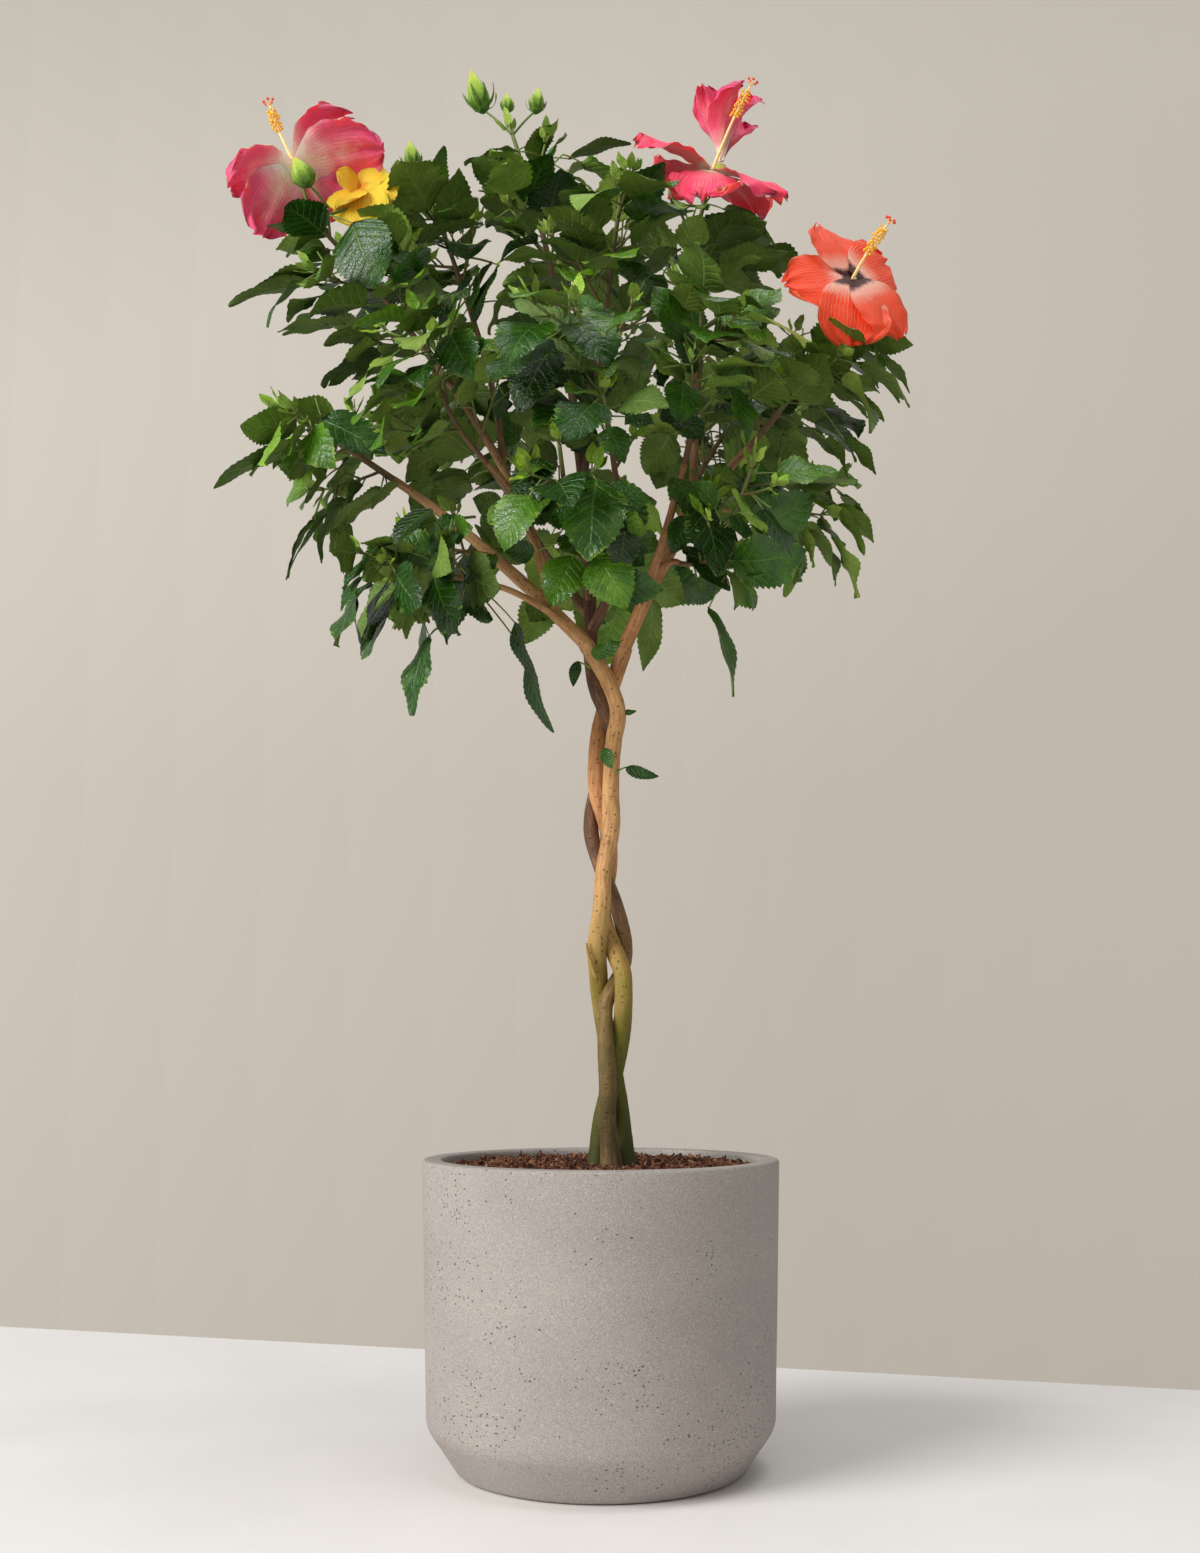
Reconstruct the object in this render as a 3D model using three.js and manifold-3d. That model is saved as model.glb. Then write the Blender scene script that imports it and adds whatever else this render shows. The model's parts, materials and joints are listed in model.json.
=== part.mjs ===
// Hibiscus grown as a small standard tree: three braided stems, a leafy crown and a round planter.
// Millimetres, +Z up, -Y towards the viewer. The origin is the centre of the planter's flat underside.
import * as THREE from "three";
import { mergeVertices } from "three/addons/utils/BufferGeometryUtils.js";
import Module from "manifold-3d";

const wasm = await Module();
wasm.setup();

// Planter and soil
const RIM_HEIGHT = 248.1;
const RIM_RADIUS = 150;
const RIM_BEVEL = 2.4;
const WALL = 17;
const FLOOR = 18;
const WALL_FOOT_RADIUS = 143.6;
const CHAMFER_HEIGHT = 35.9;
const BASE_RADIUS = 118;
const POT_SEGMENTS = 44;
const SOIL_LEVEL = 240;

// Corners closer than this are one corner
const WELD = 1e-4;
const COARSE_WELD = 1e-3;

// Space left between neighbouring pieces, and between a cut face and the limb it grows from
const GAP = 0.3;
const SADDLE_GAP = 0.42;

// Braided stems
const STEM_STEPS = 33;
const STEM_SIDES = 7;
const STEM_FOOT_RADIUS = 10;
const STEM_RADIUS = 8.1;
const STEM_TOP_RADIUS = 6.9;
const FLARE_HEIGHT = 38;
const STEM_CLEARANCE = 1.2;
const PUSH_ROUNDS = 120;
const PUSH_SHARE = 0.15;

// Where each stem stands at each height: millimetres to the right, then millimetres to the back
const BRAID = [
  { height: 240.3, tan: [22, 5], brown: [9, -10], ochre: [-6, 5] },
  { height: 280, tan: [17, 6], brown: [7, -11], ochre: [-3, 6] },
  { height: 309, tan: [9, 16], brown: [4, -14], ochre: [9, 1] },
  { height: 351, tan: [0, 8], brown: [4, -9], ochre: [19, 1] },
  { height: 380, tan: [-4, 4], brown: [8, -2], ochre: [21, -5] },
  { height: 406, tan: [-4, -3], brown: [19, 11], ochre: [17, -8] },
  { height: 427, tan: [-4, -5], brown: [25, 9], ochre: [16, -7] },
  { height: 462, tan: [-1, -9], brown: [18, -3], ochre: [9, 10] },
  { height: 492, tan: [5, -13], brown: [-4, 2], ochre: [4, 17] },
  { height: 527, tan: [9, -10], brown: [-14, 13], ochre: [-4, 2] },
  { height: 562, tan: [10, -7], brown: [-9, 15], ochre: [-9, 0] },
  { height: 602, tan: [16, -3], brown: [6, 11], ochre: [-9, -2] },
  { height: 629, tan: [16, 2], brown: [3, -7], ochre: [-4, 9] },
  { height: 656, tan: [6, -13], brown: [-5, 0], ochre: [10, 5] },
  { height: 690, tan: [-13, -13], brown: [-9, 5], ochre: [21, -1] },
];

// Boughs: the limb each one grows from and how far along it, its tip, the sideways bow of its run,
// and its radius at the butt and at the tip
const BOUGHS = [
  { name: "left", from: "tan", at: 1, tip: [-184, -20, 838],
    bow: [-8, 0, 22], radii: [6.6, 3.2] },
  { name: "crown_leader", from: "brown", at: 1, tip: [-38, 2, 1004],
    bow: [14, -2, -10], radii: [6.4, 3] },
  { name: "right", from: "ochre", at: 1, tip: [134, 3, 876],
    bow: [-22, 0, 42], radii: [6.6, 3.2] },
  { name: "upper_left", from: "left", at: 0.16, tip: [-150, -32, 944],
    bow: [34, 0, 0], radii: [4.9, 3] },
  { name: "low_left", from: "left", at: 0.05, tip: [-108, -44, 738],
    bow: [0, -6, 16], radii: [3.4, 2.4] },
  { name: "mid_left", from: "upper_left", at: 0.36, tip: [-98, -62, 838],
    bow: [6, -8, 4], radii: [3, 2.4] },
  { name: "top_left", from: "upper_left", at: 0.55, tip: [-118, -4, 1000],
    bow: [8, 6, 6], radii: [3, 2.4] },
  { name: "centre_front", from: "crown_leader", at: 0.05, tip: [14, -66, 812],
    bow: [22, -6, -8], radii: [4.8, 2.8] },
  { name: "low_front", from: "crown_leader", at: 0.12, tip: [-18, -44, 742],
    bow: [0, -4, 12], radii: [3.2, 2.4] },
  { name: "centre_top", from: "crown_leader", at: 0.5, tip: [0, -32, 944],
    bow: [4, -10, 0], radii: [3.2, 2.4] },
  { name: "right_front", from: "right", at: 0.06, tip: [72, -66, 836],
    bow: [4, -22, -6], radii: [4.6, 2.8] },
  { name: "right_low", from: "right", at: 0.3, tip: [70, -30, 758],
    bow: [0, -6, 10], radii: [3.2, 2.4] },
  { name: "top_right", from: "right", at: 0.55, tip: [82, 20, 1000],
    bow: [10, 4, -10], radii: [4, 2.8] },
  { name: "right_outer", from: "right", at: 0.6, tip: [126, 22, 822],
    bow: [0, 4, 6], radii: [3, 2.4] },
  { name: "back_left", from: "crown_leader", at: 0.1, tip: [-84, 72, 850],
    bow: [0, 10, -6], radii: [4.4, 2.8] },
  { name: "back_low", from: "crown_leader", at: 0.2, tip: [-4, 70, 800],
    bow: [0, 6, 4], radii: [3.6, 2.6] },
  { name: "back_top", from: "crown_leader", at: 0.45, tip: [-16, 74, 960],
    bow: [0, 14, -6], radii: [3.8, 2.6] },
  { name: "back_right", from: "right", at: 0.25, tip: [82, 76, 850],
    bow: [0, 14, 4], radii: [4.2, 2.8] },
  { name: "back_left_low", from: "left", at: 0.45, tip: [-108, 50, 790],
    bow: [0, 8, 6], radii: [3, 2.4] },
];
const BOUGH_STEPS = 5;
const BOUGH_SIDES = 5;

// Foliage: the bough each mass grows on from, the middle and radius of its space, and its leader's tip
const MASSES = [
  { name: "left_tip", bough: "left", middle: [-252, -22, 860],
    reach: 104, leader: [-300, -24, 918] },
  { name: "upper_left", bough: "upper_left", middle: [-210, -44, 1000],
    reach: 94, leader: [-258, -52, 1070] },
  { name: "low_left", bough: "low_left", middle: [-164, -66, 720],
    reach: 82, leader: [-214, -80, 742] },
  { name: "mid_left", bough: "mid_left", middle: [-128, -92, 886],
    reach: 88, leader: [-150, -120, 944] },
  { name: "top_left", bough: "top_left", middle: [-138, 2, 1062],
    reach: 84, leader: [-152, 2, 1114] },
  { name: "top_leader", bough: "crown_leader", middle: [-56, 2, 1100],
    reach: 86, leader: [-82, 0, 1178] },
  { name: "centre_front", bough: "centre_front", middle: [-14, -126, 878],
    reach: 90, leader: [-20, -160, 936] },
  { name: "low_front", bough: "low_front", middle: [-12, -98, 770],
    reach: 90, leader: [-18, -146, 800] },
  { name: "centre_top", bough: "centre_top", middle: [10, -66, 1012],
    reach: 88, leader: [18, -88, 1076] },
  { name: "right_front", bough: "right_front", middle: [86, -104, 904],
    reach: 90, leader: [84, -128, 970] },
  { name: "right_low", bough: "right_low", middle: [94, -66, 762],
    reach: 86, leader: [114, -106, 786] },
  { name: "top_right", bough: "top_right", middle: [84, 10, 1076],
    reach: 92, leader: [98, 0, 1138] },
  { name: "right_tip", bough: "right", middle: [200, -6, 912],
    reach: 92, leader: [212, -14, 984] },
  { name: "right_outer", bough: "right_outer", middle: [176, 32, 806],
    reach: 86, leader: [222, 36, 826] },
  { name: "back_left", bough: "back_left", middle: [-142, 118, 906],
    reach: 100, leader: [-176, 142, 966] },
  { name: "back_low", bough: "back_low", middle: [-4, 140, 806],
    reach: 96, leader: [0, 194, 818] },
  { name: "back_top", bough: "back_top", middle: [-22, 112, 1034],
    reach: 98, leader: [-26, 134, 1100] },
  { name: "back_right", bough: "back_right", middle: [130, 122, 922],
    reach: 100, leader: [154, 148, 986] },
  { name: "back_left_low", bough: "back_left_low", middle: [-148, 88, 784],
    reach: 86, leader: [-182, 108, 808] },
];
const CROWN_HEART = [0, 10, 860];

// Twigs and leaves of a mass
const TWIGS_PER_MASS = 5;
const TWIG_SIDES = 3;
const TWIG_STEPS = 1;
const LEADER_STEPS = 3;
const TWIG_RADII = [1.1, 1.4];
const LEADER_TIP = 1.9;
const TWIG_ROOM = 6;
const TWIG_LENGTH = [0.5, 0.72];
const LEAF_LENGTH = [64, 92];
const LEAF_WIDTH_RATIO = 0.58;
const LEAF_SPACING = 13;
const LEAF_APART = 13;
const LEAF_ROOT_CLEAR = 6;
const LEAF_THICKNESS = 1.3;
const PETIOLE_RADIUS = 1.3;
const TURN = 2.39996;
const SPACE_MARGIN = 0.7;
const LIMB_MARGIN = 1.1;
const SAMPLE_STEP = 4;

// Leaves that stand clear of the rest: blade base, blade tip and width
const SINGLE_LEAVES = [
  { mass: "left_tip", base: [-262, -25, 866], tip: [-340, -34, 825], width: 28 },
  { mass: "upper_left", base: [-245, -45, 1009], tip: [-329, -50, 987], width: 30 },
  { mass: "left_tip", base: [-234, -28, 810], tip: [-274, -34, 742], width: 18 },
  { mass: "upper_left", base: [-217, -78, 1052], tip: [-192, -86, 988], width: 60 },
  { mass: "upper_left", base: [-241, -45, 1060], tip: [-279, -50, 1033], width: 28 },
  { mass: "low_left", base: [-172, -72, 721], tip: [-201, -80, 664], width: 28 },
  { mass: "low_left", base: [-139, -98, 728], tip: [-116, -106, 675], width: 56 },
  { mass: "low_left", base: [-143, -80, 681], tip: [-157, -84, 612], width: 33 },
  { mass: "low_left", base: [-169, -86, 766], tip: [-214, -98, 716], width: 42 },
  { mass: "low_front", base: [-56, -54, 702], tip: [-36, -60, 652], width: 22 },
  { mass: "low_front", base: [-45, -46, 672], tip: [-20, -54, 605], width: 25 },
  { mass: "low_front", base: [-4, -134, 800], tip: [-10, -146, 726], width: 58 },
  { mass: "low_front", base: [4, -95, 728], tip: [40, -104, 706], width: 34 },
  { mass: "right_low", base: [82, -88, 798], tip: [98, -96, 728], width: 54 },
  { mass: "right_low", base: [92, -50, 714], tip: [112, -55, 634], width: 26 },
  { mass: "centre_front", base: [-40, -138, 912], tip: [-66, -152, 848], width: 48 },
  { mass: "centre_front", base: [-22, -146, 938], tip: [6, -158, 884], width: 54 },
  { mass: "right_front", base: [112, -104, 888], tip: [126, -112, 830], width: 32 },
  { mass: "right_front", base: [68, -122, 888], tip: [64, -136, 846], width: 34 },
  { mass: "right_low", base: [66, -104, 826], tip: [86, -114, 782], width: 34 },
  { mass: "centre_top", base: [24, -90, 1010], tip: [34, -106, 968], width: 36 },
  { mass: "top_leader", base: [-46, 10, 1146], tip: [4, 14, 1158], width: 26 },
  { mass: "right_tip", base: [228, -12, 950], tip: [267, -20, 909], width: 27 },
  { mass: "right_tip", base: [206, -8, 935], tip: [254, -14, 894], width: 34 },
  { mass: "right_tip", base: [219, -5, 880], tip: [246, -10, 846], width: 32 },
  { mass: "right_outer", base: [205, 10, 826], tip: [236, 6, 776], width: 28 },
  { mass: "right_outer", base: [174, 6, 812], tip: [172, 2, 748], width: 30 },
  { mass: "back_low", base: [48, 92, 760], tip: [40, 98, 690], width: 27 },
];

// Flowers: centre, the way the column points, petal length, how far the petals rise from flat (radians),
// the roll of the first petal and how broad the petals are
const PETALS = 5;
const PETAL_THICKNESS = 1.5;
const PETAL_ROOT = 0.035;
const FLOWERS = [
  { mass: "upper_left", centre: [-272, -58, 1116], axis: [-0.3, 0.3, 0.9],
    petal: 72, cup: -0.2, roll: 0.5, breadth: 1 },
  { mass: "upper_left", centre: [-211, -18, 1098], axis: [-0.5, 0.3, 0.8],
    petal: 38, cup: 0.2, roll: 0.2, breadth: 0.9 },
  { mass: "top_right", centre: [98, -2, 1130], axis: [0.26, -0.12, 0.95],
    petal: 72, cup: -0.12, roll: 0.1, breadth: 1 },
  { mass: "top_right", centre: [102, 30, 1168], axis: [0.3, -0.05, 0.95],
    petal: 60, cup: 1.15, roll: 0.4, breadth: 0.45 },
  { mass: "right_tip", centre: [224, -42, 1013], axis: [0.42, -0.72, 0.55],
    petal: 66, cup: 0.12, roll: 0.3, breadth: 1.05 },
];
const COLUMN_RATIO = 0.95;
const COLUMN_RADIUS = 1.6;
const CALYX_LENGTH = 22;
const CALYX_WIDTH = 12;
const BUD_SIDES = 5;

// Buds: base, tip and width
const BUDS = [
  { mass: "top_leader", base: [-109, 0, 1201], tip: [-122.5, 0, 1244.9], width: 19 },
  { mass: "top_leader", base: [-87, 2, 1202], tip: [-88, 2, 1222], width: 12 },
  { mass: "top_leader", base: [-61, 0, 1200], tip: [-58, 0, 1227], width: 14 },
  { mass: "upper_left", base: [-254, -84, 1082], tip: [-268, -88, 1108], width: 15 },
  { mass: "top_left", base: [-170, -20, 1132], tip: [-176, -20, 1162], width: 15 },
];

// Colours of the whole plant, taken as plain surface colours
const BARK_TAN = { color: 0xa8845a, roughness: 0.75 };
const BARK_BROWN = { color: 0x6e4f3a, roughness: 0.8 };
const BARK_OCHRE = { color: 0xa6764a, roughness: 0.75 };
const LEAF_GREEN = { color: 0x2f5a26, roughness: 0.42 };
const PLANTER_GREY = { color: 0x9a8f88, roughness: 0.82 };
const SOIL_BROWN = { color: 0x3d2620, roughness: 0.95 };

const UP = new THREE.Vector3(0, 0, 1);
const group = new THREE.Group();
group.name = "braided_hibiscus";

function vec(list) {
  return new THREE.Vector3(list[0], list[1], list[2]);
}

function mix(a, b, t) {
  return a + (b - a) * t;
}

// Repeatable random numbers between 0 and 1
function seeded(seed) {
  let state = seed >>> 0;
  return () => {
    state = (state + 0x6d2b79f5) >>> 0;
    let t = state;
    t = Math.imul(t ^ (t >>> 15), t | 1);
    t ^= t + Math.imul(t ^ (t >>> 7), t | 61);
    return ((t ^ (t >>> 14)) >>> 0) / 4294967296;
  };
}

// Closed solid from a three.js geometry
function toSolid(geometry, tolerance = WELD) {
  const bare = geometry.clone();
  bare.deleteAttribute("normal");
  bare.deleteAttribute("uv");
  const merged = mergeVertices(bare, tolerance);
  const vertProperties = new Float32Array(merged.attributes.position.array);
  const triVerts = new Uint32Array(merged.index.array);
  return new wasm.Manifold(new wasm.Mesh({ numProp: 3, vertProperties, triVerts }));
}

// three.js geometry from a solid
function toGeometry(solid) {
  const mesh = solid.getMesh();
  const count = mesh.vertProperties.length / mesh.numProp;
  const positions = new Float32Array(count * 3);
  for (let i = 0; i < count; i += 1) {
    for (let k = 0; k < 3; k += 1) {
      positions[3 * i + k] = mesh.vertProperties[mesh.numProp * i + k];
    }
  }
  const geometry = new THREE.BufferGeometry();
  geometry.setAttribute("position", new THREE.BufferAttribute(positions, 3));
  geometry.setIndex(new THREE.BufferAttribute(new Uint32Array(mesh.triVerts), 1));
  geometry.computeVertexNormals();
  return geometry;
}

function addPiece(name, geometry, look) {
  const material = new THREE.MeshStandardMaterial({ ...look, metalness: 0 });
  const piece = new THREE.Mesh(geometry, material);
  piece.name = name;
  group.add(piece);
}

// Planter: a straight wall leaning out to the rim, with a chamfer round the base
function innerRadius(height) {
  const outer = mix(WALL_FOOT_RADIUS, RIM_RADIUS, (height - CHAMFER_HEIGHT) / (RIM_HEIGHT - CHAMFER_HEIGHT));
  return outer - WALL;
}

function planter() {
  const innerFoot = innerRadius(CHAMFER_HEIGHT + WALL / 2);
  const profile = [
    [0, 0],
    [BASE_RADIUS, 0],
    [WALL_FOOT_RADIUS, CHAMFER_HEIGHT],
    [RIM_RADIUS, RIM_HEIGHT - RIM_BEVEL],
    [RIM_RADIUS - RIM_BEVEL, RIM_HEIGHT],
    [RIM_RADIUS - WALL + RIM_BEVEL, RIM_HEIGHT],
    [innerRadius(RIM_HEIGHT - RIM_BEVEL), RIM_HEIGHT - RIM_BEVEL],
    [innerFoot, CHAMFER_HEIGHT + WALL / 2],
    [BASE_RADIUS - WALL / 2, FLOOR],
    [0, FLOOR],
  ];
  return turned(profile);
}

function soil() {
  const innerFoot = innerRadius(CHAMFER_HEIGHT + WALL / 2);
  const profile = [
    [0, FLOOR + GAP],
    [BASE_RADIUS - WALL / 2 - 2 * GAP, FLOOR + GAP],
    [innerFoot - 2 * GAP, CHAMFER_HEIGHT + WALL / 2],
    [innerRadius(SOIL_LEVEL) - 2 * GAP, SOIL_LEVEL],
    [0, SOIL_LEVEL],
  ];
  return turned(profile);
}

function turned(profile) {
  const points = profile.map(([radius, height]) => new THREE.Vector2(radius, height));
  const geometry = new THREE.LatheGeometry(points, POT_SEGMENTS);
  geometry.rotateX(Math.PI / 2);
  return geometry;
}

// Direction of a run of points at each point
function tangents(points) {
  return points.map((point, i) => {
    const before = points[Math.max(i - 1, 0)];
    const after = points[Math.min(i + 1, points.length - 1)];
    return after.clone().sub(before).normalize();
  });
}

// A tapering limb: an upright cylinder with its rings moved along a run of points
function limbGeometry({ points, radii, sides, foot }) {
  const steps = points.length - 1;
  const directions = tangents(points);
  if (foot) directions[0].copy(foot);
  const frames = [];
  let side = new THREE.Vector3().crossVectors(directions[0], new THREE.Vector3(0.3, 1, 0.2)).normalize();
  for (const direction of directions) {
    side = side.clone().addScaledVector(direction, -side.dot(direction)).normalize();
    frames.push([side, new THREE.Vector3().crossVectors(side, direction)]);
  }
  const geometry = new THREE.CylinderGeometry(1, 1, 1, sides, steps);
  const place = geometry.attributes.position;
  for (let i = 0; i < place.count; i += 1) {
    const ring = Math.round((place.getY(i) + 0.5) * steps);
    const spot = points[ring].clone();
    spot.addScaledVector(frames[ring][0], place.getX(i) * radii[ring]);
    spot.addScaledVector(frames[ring][1], place.getZ(i) * radii[ring]);
    place.setXYZ(i, spot.x, spot.y, spot.z);
  }
  return geometry;
}

// Points of a bowed run from one point to another
function bowed(start, end, bow, steps) {
  const control = start.clone().add(end).multiplyScalar(0.5).add(bow);
  const points = [];
  for (let i = 0; i <= steps; i += 1) {
    const t = i / steps;
    const point = start.clone().multiplyScalar((1 - t) * (1 - t));
    point.addScaledVector(control, 2 * t * (1 - t));
    point.addScaledVector(end, t * t);
    points.push(point);
  }
  return points;
}

function tapered(butt, tip, steps) {
  return Array.from({ length: steps + 1 }, (_, i) => mix(butt, tip, i / steps));
}

function grown(radii, by) {
  return radii.map((radius) => radius + by);
}

// Stem radius: a flare at the foot, then an even taper
function stemRadius(height) {
  const bottom = BRAID[0].height;
  const top = BRAID[BRAID.length - 1].height;
  const body = mix(STEM_RADIUS, STEM_TOP_RADIUS, (height - bottom) / (top - bottom));
  const rise = Math.min((height - bottom) / FLARE_HEIGHT, 1);
  return body + (STEM_FOOT_RADIUS - STEM_RADIUS) * (1 - rise) * (1 - rise);
}

// Smooth value between the braid's levels
function braidSpot(key, height) {
  let k = 0;
  while (k < BRAID.length - 2 && BRAID[k + 1].height < height) k += 1;
  const low = BRAID[k];
  const high = BRAID[k + 1];
  const before = BRAID[Math.max(k - 1, 0)];
  const after = BRAID[Math.min(k + 2, BRAID.length - 1)];
  const span = high.height - low.height;
  const t = (height - low.height) / span;
  const spot = [0, 1].map((axis) => {
    const slopeLow = ((high[key][axis] - before[key][axis]) / (high.height - before.height)) * span;
    const slopeHigh = ((after[key][axis] - low[key][axis]) / (after.height - low.height)) * span;
    const t2 = t * t;
    const t3 = t2 * t;
    return (2 * t3 - 3 * t2 + 1) * low[key][axis] + (t3 - 2 * t2 + t) * slopeLow
      + (3 * t2 - 2 * t3) * high[key][axis] + (t3 - t2) * slopeHigh;
  });
  return new THREE.Vector3(spot[0], spot[1], height);
}

// The three stems, moved apart sideways until none touches another
function braidedStems() {
  const names = ["tan", "brown", "ochre"];
  const bottom = BRAID[0].height;
  const top = BRAID[BRAID.length - 1].height;
  const heights = Array.from({ length: STEM_STEPS + 1 }, (_, i) => mix(bottom, top, i / STEM_STEPS));
  const runs = names.map((name) => heights.map((height) => braidSpot(name, height)));
  for (let round = 0; round < PUSH_ROUNDS; round += 1) {
    for (const [a, b] of [[0, 1], [1, 2], [0, 2]]) pushApart(runs[a], runs[b]);
  }
  const radii = heights.map(stemRadius);
  return names.map((name, i) => ({ name, points: runs[i], radii, sides: STEM_SIDES, foot: UP }));
}

// The points of a run that a half-step position lies on or between
function ends(run, position) {
  return [run[Math.floor(position / 2)], run[Math.ceil(position / 2)]];
}

function pushApart(one, other) {
  const last = 2 * one.length - 2;
  for (let i = 0; i <= last; i += 1) {
    for (let j = Math.max(i - 4, 0); j <= Math.min(i + 4, last); j += 1) {
      const mine = ends(one, i);
      const theirs = ends(other, j);
      const apart = mine[0].clone().add(mine[1]).sub(theirs[0]).sub(theirs[1]).multiplyScalar(0.5);
      const needed = stemRadius(mine[0].z) + stemRadius(theirs[0].z) + STEM_CLEARANCE;
      const distance = apart.length();
      if (distance >= needed) continue;
      apart.z = 0;
      apart.setLength((needed - distance) * PUSH_SHARE);
      for (const point of mine) point.add(apart);
      for (const point of theirs) point.sub(apart);
    }
  }
}

// One bough: its butt faces a stem's end, or is cut to the side of the limb it grows from
function boughLimb(spec, limbs) {
  const parent = limbs.find((limb) => limb.name === spec.from);
  const last = parent.points.length - 1;
  const along = spec.at * last;
  const k = Math.min(Math.floor(along), last - 1);
  const start = parent.points[k].clone().lerp(parent.points[k + 1], along - k);
  const foot = spec.at === 1 ? tangents(parent.points)[last] : null;
  if (foot) start.addScaledVector(foot, GAP);
  const points = bowed(start, vec(spec.tip), vec(spec.bow), BOUGH_STEPS);
  const radii = tapered(spec.radii[0], spec.radii[1], BOUGH_STEPS);
  return { name: spec.name, points, radii, sides: BOUGH_SIDES, foot, parent };
}

function boughGeometry(limb) {
  const whole = limbGeometry(limb);
  if (limb.foot) return whole;
  const room = toSolid(limbGeometry({ ...limb.parent, radii: grown(limb.parent.radii, SADDLE_GAP) }));
  return toGeometry(largest(toSolid(whole).subtract(room)));
}

function largest(solid) {
  const parts = solid.decompose();
  return parts.reduce((best, part) => (part.volume() > best.volume() ? part : best));
}

// Balls along every limb, close enough together to stand for it
function limbSamples(limbs) {
  const samples = [];
  for (const limb of limbs) {
    for (let i = 0; i < limb.points.length - 1; i += 1) {
      const count = Math.ceil(limb.points[i].distanceTo(limb.points[i + 1]) / SAMPLE_STEP);
      for (let k = 0; k < count; k += 1) {
        const t = k / count;
        const centre = limb.points[i].clone().lerp(limb.points[i + 1], t);
        samples.push({ centre, radius: mix(limb.radii[i], limb.radii[i + 1], t) });
      }
    }
  }
  return samples;
}

// Whether a point keeps to a mass's own space, which flat faces part from its neighbours' spaces
function inSpace(mass, point, margin) {
  const own = point.distanceToSquared(mass.centre) - mass.reach * mass.reach;
  for (const other of mass.others) {
    const theirs = point.distanceToSquared(other.centre) - other.reach * other.reach;
    const depth = (theirs - own) / (2 * mass.centre.distanceTo(other.centre));
    if (depth < margin) return false;
  }
  return true;
}

function inReach(mass, point) {
  return point.distanceTo(mass.centre) <= mass.reach;
}

function facetsClear(facets, samples) {
  const nearest = new THREE.Vector3();
  for (const facet of facets) {
    for (const { centre, radius } of samples) {
      facet.closestPointToPoint(centre, nearest);
      if (nearest.distanceTo(centre) < radius + LIMB_MARGIN) return false;
    }
  }
  return true;
}

// Whether a line from a to b goes through a facet
function pierces(a, b, facet) {
  const run = b.clone().sub(a);
  const edgeOne = facet.b.clone().sub(facet.a);
  const edgeTwo = facet.c.clone().sub(facet.a);
  const normal = new THREE.Vector3().crossVectors(run, edgeTwo);
  const size = edgeOne.dot(normal);
  if (Math.abs(size) < 1e-9) return false;
  const offset = a.clone().sub(facet.a);
  const u = offset.dot(normal) / size;
  if (u < 0 || u > 1) return false;
  const turned = new THREE.Vector3().crossVectors(offset, edgeOne);
  const v = run.dot(turned) / size;
  if (v < 0 || u + v > 1) return false;
  const t = edgeTwo.dot(turned) / size;
  return t >= 0 && t <= 1;
}

// Whether two thin shapes pass through each other
function shapesCross(one, other) {
  if (one.centre.distanceTo(other.centre) > one.radius + other.radius) return false;
  if (one.edges.some(([a, b]) => other.facets.some((facet) => pierces(a, b, facet)))) return true;
  return other.edges.some(([a, b]) => one.facets.some((facet) => pierces(a, b, facet)));
}

// The outline and facets that others must keep out of, from a little beyond the root
function thinShape(outline, middle) {
  const facets = outline.map((corner, i) => (
    new THREE.Triangle(corner, outline[(i + 1) % outline.length], middle)));
  const edges = outline.map((corner, i) => [corner, outline[(i + 1) % outline.length]]);
  edges.push([outline[0], middle], [middle, outline[outline.length / 2]]);
  const radius = Math.max(...outline.map((corner) => corner.distanceTo(middle)));
  return { facets, edges, centre: middle, radius };
}

function leafOutline(leaf) {
  const clear = leaf.root.clone().lerp(leaf.middle, LEAF_ROOT_CLEAR / leaf.root.distanceTo(leaf.middle));
  return thinShape([clear, leaf.right, leaf.tip, leaf.left], leaf.middle);
}

function runShapes(points) {
  return points.slice(1).map((point, i) => ({
    facets: [],
    edges: [[points[i], point]],
    centre: points[i].clone().lerp(point, 0.5),
    radius: points[i].distanceTo(point) / 2,
  }));
}

function runClear(points, radius, samples) {
  for (let i = 1; i < points.length; i += 1) {
    for (let k = 0; k < 6; k += 1) {
      const spot = points[i - 1].clone().lerp(points[i], (k + 1) / 6);
      for (const sample of samples) {
        if (spot.distanceTo(sample.centre) < radius + sample.radius + LIMB_MARGIN) return false;
      }
    }
  }
  return true;
}

// A leaf from its root on the twig: a folded, drooping blade with four corners and a midrib
function leafShape(root, along, face, length, width, droop, fold) {
  const right = new THREE.Vector3().crossVectors(along, face).normalize();
  const middle = root.clone().addScaledVector(along, length * 0.54);
  const tip = middle.clone();
  tip.addScaledVector(along, length * 0.46 * Math.cos(droop));
  tip.addScaledVector(face, -length * 0.46 * Math.sin(droop));
  const widest = root.clone().addScaledVector(along, length * 0.5).addScaledVector(face, fold);
  return {
    root,
    tip,
    middle,
    right: widest.clone().addScaledVector(right, width / 2),
    left: widest.clone().addScaledVector(right, -width / 2),
    face,
  };
}

function leafFacets(leaf) {
  const { root, tip, middle, left, right } = leaf;
  return [
    new THREE.Triangle(root, right, middle),
    new THREE.Triangle(right, tip, middle),
    new THREE.Triangle(tip, left, middle),
    new THREE.Triangle(left, root, middle),
  ];
}

function leafFits(mass, leaf, samples) {
  const corners = [leaf.tip, leaf.left, leaf.right, leaf.middle];
  if (!corners.every((corner) => inSpace(mass, corner, SPACE_MARGIN + LEAF_THICKNESS))) return false;
  return facetsClear(leafFacets(leaf), samples);
}

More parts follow.
